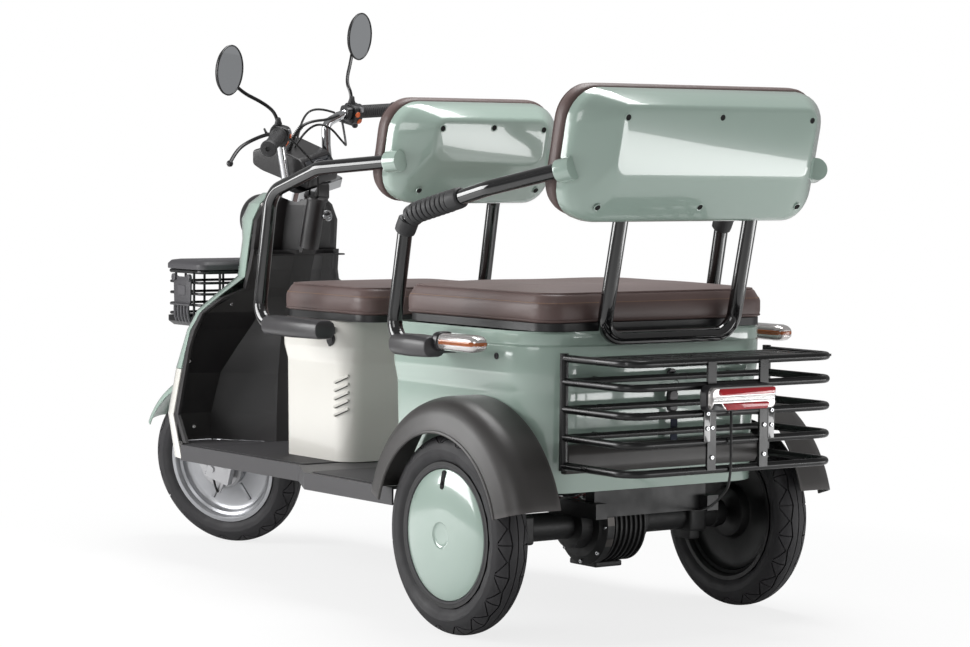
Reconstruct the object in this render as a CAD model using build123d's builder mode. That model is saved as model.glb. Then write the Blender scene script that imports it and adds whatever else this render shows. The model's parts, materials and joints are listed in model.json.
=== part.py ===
from build123d import *
import math
import os

os.makedirs("parts", exist_ok=True)

# Electric passenger tricycle, in millimetres.
# +X points forward, +Y to the rider's left, +Z up; the floor is Z = 0 and the origin is
# the middle of the vehicle's outline on the floor.  Stations along X are counted from
# the rear axle.

# ---------------------------------------------------------------- driving dimensions
AXLE_X = -618.0            # rear axle line
TRACK = 756.0              # between the rear tyres' mid planes
TYRE_R = 210.0             # 3.00-10 tyres all round
TYRE_W = 82.0
RIM_R = 146.0              # tyre bead seat, outside of the rim flange
TUBE_D = 32.0              # seat frames and armrests
RACK_TUBE_D = 16.0
SKIN = 3.0                 # moulded plastic covers
FIT = 0.2                  # clearance of a tube in its socket

SIDES = {"left": 1, "right": -1}


def station(x):
    """X of a point that lies x ahead of the rear axle."""
    return AXLE_X + x


# ---------------------------------------------------------------- steering geometry
RAKE = 22.0                # steering axis leans back from the vertical
STEER_AXIS_X = station(1530.0)    # where the steering axis meets the floor
REST_STEER = 27.0          # parked with the front wheel turned to the left
FORK_OFFSET = 66.5        # wheel centre ahead of the axis, level with the wheel centre
STEER_AXIS = Axis((STEER_AXIS_X, 0, 0), (-math.sin(math.radians(RAKE)), 0, math.cos(math.radians(RAKE))))


def axis_x(z):
    """X of the steering axis at height z."""
    return STEER_AXIS_X - z * math.tan(math.radians(RAKE))


FRONT_WHEEL_Z = TYRE_R + 0.6
FRONT_WHEEL_X = axis_x(FRONT_WHEEL_Z) + FORK_OFFSET

# ---------------------------------------------------------------- body
BODY_FRONT = station(335.0)
BODY_REAR = station(-196.0)
BODY_HALF_W = 328.0
BODY_CORNER_R = 115.0
BODY_FLOOR = 302.0
BODY_TOP = 636.0
BODY_WALL = 4.0

FLOOR_Z = 282.0            # top of the footboard
FLOOR_HALF_W = 300.0
STEP_HALF_W = 376.0
STEP_FRONT = station(743.0)
STEP_REAR = station(600.0)
FLOOR_FRONT = station(1281.0)
FLOOR_REAR = station(250.0)
SKIRT_H = 38.0

BOX_FRONT = station(975.0)
BOX_REAR = station(690.0)
BOX_HALF_W = 212.0
BOX_TOP = 612.0

SEAT_BASE_T = 16.0
CUSHION_T = 84.0
DRIVER_SEAT_FRONT = station(962.0)
DRIVER_SEAT_REAR = station(585.0)
DRIVER_SEAT_HALF_W = 222.0
REAR_SEAT_FRONT = station(335.0)
REAR_SEAT_REAR = station(-196.0)
REAR_SEAT_HALF_W = 302.0

# ---------------------------------------------------------------- helpers


def bent_tube(points, bends, diameter, bore=0.0):
    """Round tube along straight runs joined by arcs."""
    with BuildPart() as tube:
        with BuildLine() as route:
            FilletPolyline(*points, radius=bends)
        with BuildSketch(Plane(origin=route.line @ 0, z_dir=route.line % 0)):
            Circle(diameter / 2)
            if bore:
                Circle(bore / 2, mode=Mode.SUBTRACT)
        sweep(path=route.line)
    return tube.part


def rounded_slab(x0, x1, half_w, z0, z1, corner, edge=0.0):
    """Upright block with round corners in plan and eased top edges."""
    with BuildPart() as slab:
        with BuildSketch(Plane.XY.offset(z0)):
            with Locations(((x0 + x1) / 2, 0)):
                RectangleRounded(abs(x1 - x0), 2 * half_w, corner)
        extrude(amount=z1 - z0)
        if edge:
            fillet(slab.faces().sort_by(Axis.Z)[-1].edges(), edge)
    return slab.part


def steered(shape):
    """Turn a piece built for straight ahead to the parked steering angle."""
    return shape.rotate(STEER_AXIS, REST_STEER)


def wheel_tyre(x, y, z):
    """Tyre revolved about the wheel axis, open at the bead."""
    half = TYRE_W / 2
    with BuildPart() as tyre:
        with BuildSketch(Plane.XY):
            with BuildLine():
                Polyline(
                    (0, RIM_R),
                    (25, RIM_R),
                    (28, RIM_R + 7),
                    (half, RIM_R + 26),
                    (half * 0.95, TYRE_R - 22),
                    (half * 0.62, TYRE_R - 6),
                )
                Spline((half * 0.62, TYRE_R - 6), (half * 0.3, TYRE_R - 1), (0, TYRE_R))
                mirror(about=Plane.YZ)
            make_face()
        revolve(axis=Axis.X)
    return tyre.part.rotate(Axis.Z, 90).moved(Location((x, y, z)))


# ================================================================ chassis
RAIL_Y = 150.0
RAIL_W = 30.0
RAIL_H = 32.0
RAIL_TOP = FLOOR_Z - 5.0
NECK_D = 44.0
STEM_D = 30.0
COLUMN_D = 38.0
NECK_LOW = 540.0           # head tube ends, measured along the steering axis
NECK_HIGH = 700.0
DOWN_TUBE_D = 32.0
DOWN_TUBE_X = station(1251.0)     # runs down close behind the front wheel
STEER_PLANE = Plane(
    origin=(STEER_AXIS_X, 0, 0),
    x_dir=(math.cos(math.radians(RAKE)), 0, math.sin(math.radians(RAKE))),
    z_dir=(-math.sin(math.radians(RAKE)), 0, math.cos(math.radians(RAKE))),
)


def on_axis(u, v, w):
    """World point of (forward, left, up) measured square to and along the steering axis."""
    return tuple(STEER_PLANE.from_local_coords(Vector(u, v, w)))


with BuildPart() as frame:
    with BuildSketch(Plane.XY.offset(RAIL_TOP - RAIL_H)):
        for rail_y in (-RAIL_Y, RAIL_Y):
            with Locations(((station(-190) + station(1120)) / 2, rail_y)):
                Rectangle(station(1120) - station(-190), RAIL_W)
        for cross_x in (station(-150), station(225), station(700), station(1100)):
            with Locations((cross_x, 0)):
                Rectangle(RAIL_W, 2 * RAIL_Y)
    extrude(amount=RAIL_H)
    add(bent_tube(
        [
            (station(1100), 0, RAIL_TOP - RAIL_H / 2),
            (DOWN_TUBE_X, 0, RAIL_TOP - RAIL_H / 2),
            (DOWN_TUBE_X, 0, 450),
            on_axis(0, 0, (NECK_LOW + NECK_HIGH) / 2),
        ],
        [34, 60], DOWN_TUBE_D,
    ))
    for body_x in (station(-150), station(225)):
        with Locations((body_x, 0, RAIL_TOP)):
            Box(RAIL_W, 2 * RAIL_Y, BODY_FLOOR - RAIL_TOP - 1, align=(Align.CENTER, Align.CENTER, Align.MIN))
    with BuildSketch(STEER_PLANE.offset(NECK_LOW)):
        Circle(NECK_D / 2)
    extrude(amount=NECK_HIGH - NECK_LOW)
    with BuildSketch(STEER_PLANE.offset(NECK_LOW - 40)):
        Circle(STEM_D / 2 + 1)
    extrude(amount=NECK_HIGH - NECK_LOW + 80, mode=Mode.SUBTRACT)
frame.part.label = "frame"
export_step(frame.part, "parts/frame.step")

# ---------------------------------------------------------------- footboard
TOE_X = station(1366.0)           # front of the foot space, beside the wheel hump
HUMP_X = station(1222.0)          # rear of the hump over the front wheel
HUMP_HALF_W = 165.0
with BuildPart() as footboard:
    with BuildSketch(Plane.XY.offset(FLOOR_Z - SKIRT_H)):
        with BuildLine():
            Polyline(
                (HUMP_X - 2, 0),
                (HUMP_X - 2, 62),
                (TOE_X, HUMP_HALF_W + 4),
                (TOE_X, 246),
                (FLOOR_FRONT, 262),
                (FLOOR_FRONT, FLOOR_HALF_W),
                (STEP_FRONT, FLOOR_HALF_W),
                (STEP_REAR, STEP_HALF_W),
                (FLOOR_REAR, STEP_HALF_W),
                (FLOOR_REAR, 0),
            )
            mirror(about=Plane.XZ)
        make_face()
    extrude(amount=SKIRT_H)
    offset(amount=-4, openings=footboard.faces().sort_by(Axis.Z)[0])
    with Locations((FLOOR_REAR, 0, FLOOR_Z - SKIRT_H)):
        Box(24, 2 * STEP_HALF_W - 12, 2 * SKIRT_H - 8, mode=Mode.SUBTRACT)
    with Locations((HUMP_X, 0, FLOOR_Z - SKIRT_H)):
        Box(60, DOWN_TUBE_D + 12, 2 * SKIRT_H + 2, mode=Mode.SUBTRACT)
    fillet(footboard.edges().filter_by(Axis.Z).sort_by(Axis.X)[:2], 3)
footboard.part.label = "footboard"
export_step(footboard.part, "parts/footboard.step")

# ---------------------------------------------------------------- leg shield
SHIELD_T = 4.0
POCKET_Z = 757.0           # open mouth of the glove pocket
# height, hump rear, hump half width, foot wall, wing rear edge, half width
SHIELD_LOWER = (
    (FLOOR_Z + 1, HUMP_X, HUMP_HALF_W, TOE_X + 3, station(1300), 274.0),
    (350.0, station(1222), HUMP_HALF_W, station(1366), station(1336), 277.0),
    (450.0, station(1225), 150.0, station(1345), station(1302), 278.0),
    (520.0, station(1234), 120.0, station(1310), station(1283), 276.0),
    (560.0, station(1238), 100.0, station(1290), station(1270), 270.0),
    (604.0, station(1236), 85.0, station(1264), station(1247), 260.0),
    (640.0, station(1230), 80.0, station(1252), station(1250), 200.0),
    (662.0, station(1222), 80.0, station(1245), station(1247), 138.0),
    (707.0, station(1208), 75.0, station(1235), station(1242), 128.0),
    (POCKET_Z, station(1190), 75.0, station(1222), station(1231), 124.0),
)
SHIELD_UPPER = (
    (POCKET_Z - 6, station(1183), 42.0, station(1238), station(1240), 121.0),
    (830.0, station(1156), 42.0, station(1222), station(1228), 117.0),
    (868.0, station(1141), 42.0, station(1212), station(1220), 96.0),
    (884.0, station(1136), 40.0, station(1208), station(1216), 74.0),
)
SHIELD_LIP = 15.0


def shield_band(z, hump_x, hump_w, foot_x, wing_x, half_w):
    """Left half of one level: the rear surface and the same line one wall forward."""
    t = SHIELD_T
    with BuildSketch(Plane.XY.offset(z)) as band:
        with BuildLine():
            Polyline(
                (hump_x, 0),
                (hump_x, hump_w * 0.38),
                (foot_x, hump_w),
                (foot_x, half_w - 22),
                (wing_x, half_w - 8),
                (wing_x, half_w),
                (wing_x + SHIELD_LIP, half_w),
                (wing_x + SHIELD_LIP, half_w - t),
                (foot_x + t, half_w - 18),
                (foot_x + t, hump_w - t),
                (hump_x + t, hump_w * 0.38 - t),
                (hump_x + t, 0),
                close=True,
            )
        make_face()
    return band.sketch


def shield_shell(levels):
    """Both halves lofted through the levels."""
    with BuildPart() as shell:
        for lower, upper in zip(levels, levels[1:]):
            loft([shield_band(*lower), shield_band(*upper)], ruled=True)
        mirror(about=Plane.XZ)
    return shell.part


with BuildPart() as leg_shield:
    add(shield_shell(SHIELD_LOWER))
    add(shield_shell(SHIELD_UPPER))
    with Locations((station(1217), 0, POCKET_Z - 12)):
        Box(46, 234, 4)
    top_z, hump_x, hump_w, foot_x, wing_x, half_w = SHIELD_UPPER[-1]
    with BuildSketch(Plane.XY.offset(top_z - 1)):
        with BuildLine():
            Polyline(
                (hump_x, -hump_w * 0.38),
                (hump_x, hump_w * 0.38),
                (foot_x, hump_w),
                (wing_x + SHIELD_LIP, half_w - 2),
                (wing_x + SHIELD_LIP, -half_w + 2),
                (foot_x, -hump_w),
                close=True,
            )
        make_face()
        offset(amount=1)
    extrude(amount=SHIELD_T)
    with BuildSketch(STEER_PLANE.offset(NECK_HIGH + 20)):
        Circle(COLUMN_D / 2 + 5)
    extrude(amount=300, mode=Mode.SUBTRACT)
leg_shield.part.label = "leg_shield"
export_step(leg_shield.part, "parts/leg_shield.step")

# ---------------------------------------------------------------- front cowl and fairing
COWL_SECTIONS = (
    # height, half width, rear edge, front edge
    (466.0, 280.0, station(1315), station(1470)),
    (560.0, 272.0, station(1287), station(1402)),
    (610.0, 252.0, station(1265), station(1396)),
    (645.0, 200.0, station(1268), station(1392)),
    (690.0, 132.0, station(1262), station(1388)),
    (780.0, 124.0, station(1254), station(1374)),
    (830.0, 120.0, station(1246), station(1398)),
    (870.0, 102.0, station(1240), station(1382)),
    (896.0, 78.0, station(1236), station(1330)),
)


def cowl_section(height, half_w, rear, nose, inset=0.0):
    """Half ellipse in plan, flat at the back."""
    with BuildSketch(Plane.XY.offset(height)) as section:
        with BuildLine():
            Line((rear, -(half_w - inset)), (rear, half_w - inset))
            EllipticalCenterArc(
                (rear, 0), nose - rear - inset, half_w - inset, start_angle=-90, arc_size=180
            )
        make_face()
    return section.sketch


def open_cowl(rows):
    """Shell lofted through the rows, open at the back and below."""
    with BuildPart() as shell:
        loft([cowl_section(*row) for row in rows], ruled=True)
        loft([cowl_section(*row, SKIN) for row in rows], ruled=True, mode=Mode.SUBTRACT)
    return shell.part


LAMP_Z = 828.0
LAMP_R = 60.0
LAMP_X = station(1360.0)
with BuildPart() as front_cowl:
    add(open_cowl(COWL_SECTIONS))
    with BuildSketch(Plane.XY.offset(COWL_SECTIONS[-1][0] - SKIN)):
        add(cowl_section(0, *COWL_SECTIONS[-1][1:]))
    extrude(amount=SKIN)
    with BuildSketch(Plane.YZ.offset(LAMP_X)):
        with Locations((0, LAMP_Z)):
            Circle(LAMP_R + 1)
    extrude(amount=120, mode=Mode.SUBTRACT)
front_cowl.part.label = "front_cowl"
export_step(front_cowl.part, "parts/front_cowl.step")

FAIRING_SECTIONS = (
    (FLOOR_Z - 38, 276.0, station(1320), station(1500)),
    (350.0, 281.0, station(1352), station(1510)),
    (464.0, 280.0, station(1315), station(1472)),
)
with BuildPart() as lower_fairing:
    add(open_cowl(FAIRING_SECTIONS))
    with Locations((station(1560), 0, 330)):
        Box(300, 360, 320, mode=Mode.SUBTRACT)
lower_fairing.part.label = "lower_fairing"
export_step(lower_fairing.part, "parts/lower_fairing.step")

with BuildPart() as headlamp:
    with BuildSketch(Plane.YZ.offset(LAMP_X)):
        with Locations((0, LAMP_Z)):
            Circle(LAMP_R)
    extrude(amount=50)
    fillet(headlamp.edges().sort_by(Axis.X)[-1], 12)
headlamp.part.label = "headlamp"
export_step(headlamp.part, "parts/headlamp.step")

# ---------------------------------------------------------------- seat box and driver's seat
with BuildPart() as seat_box:
    add(rounded_slab(BOX_REAR, BOX_FRONT, BOX_HALF_W, FLOOR_Z + 0.5, BOX_TOP, 55))
    offset(amount=-SKIN, openings=seat_box.faces().sort_by(Axis.Z)[-1])
seat_box.part.label = "seat_box"
export_step(seat_box.part, "parts/seat_box.step")

with BuildPart() as driver_seat_base:
    add(rounded_slab(
        DRIVER_SEAT_REAR + 6, DRIVER_SEAT_FRONT - 6, DRIVER_SEAT_HALF_W - 6,
        BOX_TOP + 1, BOX_TOP + 1 + SEAT_BASE_T, 50,
    ))
driver_seat_base.part.label = "driver_seat_base"
export_step(driver_seat_base.part, "parts/driver_seat_base.step")

with BuildPart() as driver_seat_cushion:
    add(rounded_slab(
        DRIVER_SEAT_REAR, DRIVER_SEAT_FRONT, DRIVER_SEAT_HALF_W,
        BOX_TOP + 1 + SEAT_BASE_T, BOX_TOP + 1 + SEAT_BASE_T + CUSHION_T - 16, 55, 22,
    ))
driver_seat_cushion.part.label = "driver_seat_cushion"
export_step(driver_seat_cushion.part, "parts/driver_seat_cushion.step")

# ---------------------------------------------------------------- rear body and rear seat
with BuildPart() as rear_body:
    with BuildSketch(Plane.XY.offset(BODY_FLOOR)):
        with Locations(((BODY_REAR + BODY_FRONT) / 2, 0)):
            Rectangle(BODY_FRONT - BODY_REAR, 2 * BODY_HALF_W)
    extrude(amount=BODY_TOP - BODY_FLOOR)
    fillet(rear_body.edges().filter_by(Axis.Z).sort_by(Axis.X)[:2], BODY_CORNER_R)
    fillet(rear_body.edges().filter_by(Axis.Z).sort_by(Axis.X)[-2:], 25)
    offset(amount=-BODY_WALL, openings=rear_body.faces().sort_by(Axis.Z)[-1])
rear_body.part.label = "rear_body"
export_step(rear_body.part, "parts/rear_body.step")

with BuildPart() as rear_seat_base:
    add(rounded_slab(
        REAR_SEAT_REAR + 4, REAR_SEAT_FRONT - 6, REAR_SEAT_HALF_W - 4,
        BODY_TOP + 1, BODY_TOP + 1 + SEAT_BASE_T, 55,
    ))
rear_seat_base.part.label = "rear_seat_base"
export_step(rear_seat_base.part, "parts/rear_seat_base.step")

with BuildPart() as rear_seat_cushion:
    add(rounded_slab(
        REAR_SEAT_REAR, REAR_SEAT_FRONT, REAR_SEAT_HALF_W,
        BODY_TOP + 1 + SEAT_BASE_T, BODY_TOP + 1 + SEAT_BASE_T + CUSHION_T - 16, 60, 22,
    ))
rear_seat_cushion.part.label = "rear_seat_cushion"
export_step(rear_seat_cushion.part, "parts/rear_seat_cushion.step")

# ---------------------------------------------------------------- backrests
BACK_LEAN = 12.9
SEAM = 14.0                # pad and shell meet this far ahead of the support tubes' plane
PAD_T = 52.0


def back_plane(foot, rearward=0.0):
    """Plane across a backrest: local X to the right, local Y up the lean, Z to the rear."""
    lean = math.radians(BACK_LEAN)
    rear = Vector(-math.cos(lean), 0, -math.sin(lean))
    return Plane(origin=Vector(foot[0], 0, foot[1]) + rear * rearward, x_dir=(0, -1, 0), z_dir=rear)


def on_back(foot, y, s, rearward=0.0):
    """World point at y to the left, s up the lean of a backrest."""
    return tuple(back_plane(foot, rearward).from_local_coords(Vector(-y, s, 0)))


REAR_BACK = (station(-215), 622.0)
FRONT_BACK = (station(553), 622.0)


def backrest_shell(foot, half_w, low, high):
    """Moulded rear shell with sloping flanks and a flat main face."""
    sections = (
        (-SEAM, half_w, low, high, 70),
        (20, half_w - 54, low + 6, high - 8, 60),
        (50, half_w - 108, low + 92, high - 24, 18),
    )
    with BuildPart() as shell:
        for depth, wide, z0, z1, corner in sections:
            with BuildSketch(back_plane(foot, depth)):
                with Locations((0, (z0 + z1) / 2)):
                    RectangleRounded(2 * wide, z1 - z0, corner)
        loft(ruled=True)
    return shell.part


def backrest_pad(foot, half_w, low, high):
    """Closed plain solid of the upholstered pad in front of a shell."""
    with BuildPart() as pad:
        with BuildSketch(back_plane(foot, -SEAM - 0.5)):
            with Locations((0, (low + high) / 2)):
                RectangleRounded(2 * half_w, high - low, 75)
        extrude(amount=-PAD_T)
        fillet(pad.faces().sort_by(Axis.X)[-1].edges(), 24)
    return pad.part


U_HALF_W = 173.0
with BuildPart() as rear_backrest_frame:
    add(bent_tube(
        [
            on_back(REAR_BACK, U_HALF_W, 255),
            on_back(REAR_BACK, U_HALF_W, 0),
            on_back(REAR_BACK, -U_HALF_W, 0),
            on_back(REAR_BACK, -U_HALF_W, 255),
        ],
        45, TUBE_D,
    ))
rear_backrest_frame.part.label = "rear_backrest_frame"
export_step(rear_backrest_frame.part, "parts/rear_backrest_frame.step")

# ---------------------------------------------------------------- armrests
FRONT_ARM_Y = 318.0
REAR_ARM_Y = 432.0
CAP_Z = 601.0
FRONT_ARM = (
    (station(486), 262.0, 978.0),
    (station(660), 302.0, 962.0),
    (station(838), FRONT_ARM_Y, 905.0),
    (station(893), FRONT_ARM_Y, CAP_Z),
    (station(760), FRONT_ARM_Y, CAP_Z),
)
REAR_ARM = (
    (station(-292), 370.0, 957.0),
    (station(-100), 404.0, 926.0),
    (station(118), REAR_ARM_Y, 868.0),
    (station(170), REAR_ARM_Y, CAP_Z),
    (station(60), REAR_ARM_Y, CAP_Z),
)
ARM_BENDS = [90, 62, 46]


def arm_tube(route, sign, diameter):
    """One armrest tube on the left (sign 1) or right (sign -1)."""
    return bent_tube([(x, sign * y, z) for x, y, z in route], ARM_BENDS, diameter)


def arm_collar(route, sign):
    """Moulded boss on the shell's flank that takes the end of an armrest tube."""
    start = Vector(*route[0])
    run = (Vector(*route[1]) - start).normalized()
    with BuildPart() as collar:
        with BuildSketch(Plane(origin=start - run * 26 - Vector(0, 8, 0), z_dir=run)):
            Circle(TUBE_D / 2 + 7)
        extrude(amount=32)
    return collar.part if sign > 0 else mirror(collar.part, about=Plane.XZ)


BACKRESTS = {
    # name: foot, shell half width, low, high, pad half width, low, high, armrest
    "front": (FRONT_BACK, 236, 270, 505, 236, 266, 512, FRONT_ARM),
    "rear": (REAR_BACK, 354, 257, 520, 351, 258, 528, REAR_ARM),
}
for row, (foot, half_w, low, high, pad_w, pad_low, pad_high, arm) in BACKRESTS.items():
    with BuildPart() as shell:
        add(backrest_shell(foot, half_w, low, high))
        for sign in SIDES.values():
            add(arm_collar(arm, sign))
        for sign in SIDES.values():
            add(arm_tube(arm, sign, TUBE_D + 2 * FIT), mode=Mode.SUBTRACT)
    shell.part.label = f"{row}_backrest_shell"
    export_step(shell.part, f"parts/{row}_backrest_shell.step")
    with BuildPart() as pad:
        add(backrest_pad(foot, pad_w, pad_low, pad_high))
        for sign in SIDES.values():
            add(arm_tube(arm, sign, TUBE_D + 4), mode=Mode.SUBTRACT)
            add(arm_collar(arm, sign), mode=Mode.SUBTRACT)
    pad.part.label = f"{row}_backrest_pad"
    export_step(pad.part, f"parts/{row}_backrest_pad.step")

with BuildPart() as armrests:
    for sign in SIDES.values():
        for route in (FRONT_ARM, REAR_ARM):
            add(arm_tube(route, sign, TUBE_D))
armrests.part.label = "armrests"
export_step(armrests.part, "parts/armrests.step")

GRIP_D = TUBE_D + 11.0
with BuildPart() as armrest_grips:
    for sign in SIDES.values():
        with BuildPart() as sleeve:
            add(arm_tube(REAR_ARM, sign, GRIP_D))
            add(arm_tube(REAR_ARM, sign, TUBE_D + 2 * FIT), mode=Mode.SUBTRACT)
            with Locations((station(200 + 28), 0, 850)):
                Box(400, 2000, 140, mode=Mode.INTERSECT)
        add(sleeve.part)
armrest_grips.part.label = "armrest_grips"
export_step(armrest_grips.part, "parts/armrest_grips.step")

CAP_H = 44.0
CAP_W = 60.0
with BuildPart() as corner_caps:
    for x0, x1, y, inner in (
        (station(612), station(838), FRONT_ARM_Y, BOX_HALF_W + 1),
        (station(18), station(150), REAR_ARM_Y, BODY_HALF_W + 1),
    ):
        with Locations(((x0 + x1) / 2, y - 4, CAP_Z - 2)):
            Box(x1 - x0, CAP_W, CAP_H)
        with Locations(((x0 + x1) / 2 + 20, (inner + y) / 2, CAP_Z - 12)):
            Box(50, y - inner, 18)
    mirror(about=Plane.XZ)
    for sign in SIDES.values():
        for route in (FRONT_ARM, REAR_ARM):
            add(arm_tube(route, sign, TUBE_D + 2 * FIT), mode=Mode.SUBTRACT)
corner_caps.part.label = "corner_caps"
export_step(corner_caps.part, "parts/corner_caps.step")

LAMP_FRONT = station(17)
with BuildPart() as turn_lamps:
    for sign in SIDES.values():
        with Locations(((LAMP_FRONT + station(-126)) / 2, sign * 412, CAP_Z + 12)):
            Box(LAMP_FRONT - station(-126), 46, 38)
    fillet(turn_lamps.edges().filter_by(Axis.X), 15)
turn_lamps.part.label = "turn_lamps"
export_step(turn_lamps.part, "parts/turn_lamps.step")

# ---------------------------------------------------------------- fenders
FENDER_IN_Y = BODY_HALF_W + 2.0
FENDER_OUT_Y = 440.0
FENDER_LIP_R = TYRE_R + 3.0
FENDER_START = 15.0        # degrees above level where the guard begins and ends
# radius about the wheel and distance outward along the guard's cross section
FENDER_SECTION = (
    (287.0, FENDER_IN_Y),
    (287.0, 362.0),
    (281.0, 392.0),
    (266.0, 417.0),
    (244.0, 434.0),
    (FENDER_LIP_R, FENDER_OUT_Y),
)
FENDER_INNER = (
    (FENDER_LIP_R, FENDER_OUT_Y - SKIN),
    (243.0, 431.0),
    (264.0, 414.5),
    (278.5, 390.5),
    (284.0, 361.5),
    (284.0, FENDER_IN_Y),
)
for side, sign in SIDES.items():
    start = math.radians(FENDER_START)
    section_plane = Plane(
        origin=(AXLE_X, 0, TYRE_R),
        x_dir=(math.cos(start), 0, math.sin(start)),
        z_dir=(-math.sin(start), 0, math.cos(start)),
    )
    with BuildPart() as guard:
        with BuildSketch(section_plane):
            with BuildLine():
                Polyline(*[(r, sign * y) for r, y in FENDER_SECTION + FENDER_INNER], close=True)
            make_face()
        revolve(axis=Axis((AXLE_X, 0, TYRE_R), (0, -1, 0)), revolution_arc=180 - 2 * FENDER_START)
    guard.part.label = f"fender_{side}"
    export_step(guard.part, f"parts/fender_{side}.step")

# ---------------------------------------------------------------- bumper and rack
RACK_D = RACK_TUBE_D
RACK_FRONT = station(-217)
RACK_REAR = station(-432)
RACK_HALF_W = 272.0
RACK_LEVELS = (585.0, 537.0, 481.0, 423.0, 366.0)
STRAP_Y = 69.0
STRAP_W = 22.0

with BuildPart() as rear_bumper:
    with Locations((BODY_REAR - 16, 0, 375)):
        Box(26, 508, 60)
    fillet(rear_bumper.edges().filter_by(Axis.Z), 10)
rear_bumper.part.label = "rear_bumper"
export_step(rear_bumper.part, "parts/rear_bumper.step")

with BuildPart() as rack:
    for level in RACK_LEVELS:
        add(bent_tube(
            [
                (RACK_FRONT, RACK_HALF_W, level),
                (RACK_REAR, RACK_HALF_W, level),
                (RACK_REAR, -RACK_HALF_W, level),
                (RACK_FRONT, -RACK_HALF_W, level),
            ],
            45, RACK_D,
        ))
    for level in RACK_LEVELS[1:4]:
        with BuildSketch(Plane.XZ.offset(RACK_HALF_W)):
            with Locations((RACK_FRONT, level)):
                Circle(RACK_D / 2 - 1)
        extrude(amount=-2 * RACK_HALF_W)
    for y in (-RACK_HALF_W, RACK_HALF_W):
        with BuildSketch(Plane.XY.offset(RACK_LEVELS[-1] - 10)):
            with Locations((RACK_FRONT, y)):
                Circle(RACK_D / 2 + 1)
        extrude(amount=RACK_LEVELS[0] - RACK_LEVELS[-1] + 20)
    for y in (-STRAP_Y, STRAP_Y):
        with Locations((RACK_REAR - 7, y, (RACK_LEVELS[0] + RACK_LEVELS[-1]) / 2)):
            Box(6, STRAP_W, RACK_LEVELS[0] - RACK_LEVELS[-1])
    for x in (station(-262), station(-300), station(-338), station(-376), station(-410)):
        with Locations((x, 0, RACK_LEVELS[0] + 1)):
            Box(20, 2 * RACK_HALF_W, 5)
    for y in (-180, 180):
        for level in (RACK_LEVELS[1], RACK_LEVELS[3]):
            with BuildSketch(Plane.YZ.offset(RACK_FRONT)):
                with Locations((y, level)):
                    Circle(7)
            extrude(amount=BODY_REAR - RACK_FRONT - 1)
rack.part.label = "rack"
export_step(rack.part, "parts/rack.step")

with BuildPart() as tail_lamp:
    with Locations((RACK_REAR - 30, 15, 512)):
        Box(36, 180, 54)
    fillet(tail_lamp.edges().filter_by(Axis.X), 12)
tail_lamp.part.label = "tail_lamp"
export_step(tail_lamp.part, "parts/tail_lamp.step")

# ---------------------------------------------------------------- rear axle
AXLE_TUBE_D = 60.0
MOTOR_R = 84.0
WHEEL_Y = TRACK / 2
PIN_D = 20.0
with BuildPart() as rear_axle:
    with BuildSketch(Plane.XZ.offset(WHEEL_Y - 50)):
        with Locations((AXLE_X, TYRE_R)):
            Circle(AXLE_TUBE_D / 2)
    extrude(amount=-2 * (WHEEL_Y - 50))
    with BuildSketch(Plane.XZ.offset(62)):
        with Locations((AXLE_X, TYRE_R)):
            Circle(MOTOR_R)
    extrude(amount=-124)
    with BuildSketch(Plane.XZ.offset(WHEEL_Y + 26)):
        with Locations((AXLE_X, TYRE_R)):
            Circle(PIN_D / 2)
    extrude(amount=-2 * (WHEEL_Y + 26))
rear_axle.part.label = "rear_axle"
export_step(rear_axle.part, "parts/rear_axle.step")

with BuildPart() as rear_shocks:
    for sign in SIDES.values():
        with BuildSketch(Plane.XY.offset(TYRE_R + AXLE_TUBE_D / 2 + 1)):
            with Locations((AXLE_X, sign * 235)):
                Circle(24)
        extrude(amount=BODY_FLOOR - 2 - TYRE_R - AXLE_TUBE_D / 2)
rear_shocks.part.label = "rear_shocks"
export_step(rear_shocks.part, "parts/rear_shocks.step")

# ---------------------------------------------------------------- basket
BASKET_BACK = station(1410)
BASKET_FRONT = station(1592)
BASKET_HALF_W = 168.0
BASKET_TOP = 700.0
BASKET_FLOOR = 558.0
with BuildPart() as basket:
    with BuildSketch(Plane.XY.offset(BASKET_FLOOR)):
        with Locations(((BASKET_BACK + BASKET_FRONT) / 2, 0)):
            RectangleRounded(BASKET_FRONT - BASKET_BACK, 2 * BASKET_HALF_W, 25)
    extrude(amount=BASKET_TOP - BASKET_FLOOR)
    offset(amount=-5, openings=basket.faces().sort_by(Axis.Z)[-1])
basket.part.label = "basket"
export_step(basket.part, "parts/basket.step")

LID_T = 24.0
with BuildPart() as basket_lid:
    with BuildSketch(Plane.XY.offset(BASKET_TOP + 1)):
        with Locations(((BASKET_BACK + BASKET_FRONT) / 2, 0)):
            RectangleRounded(BASKET_FRONT - BASKET_BACK + 4, 2 * BASKET_HALF_W + 4, 27)
    extrude(amount=LID_T)
    fillet(basket_lid.faces().sort_by(Axis.Z)[-1].edges(), 9)
basket_lid.part.label = "basket_lid"
export_step(basket_lid.part, "parts/basket_lid.step")

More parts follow.
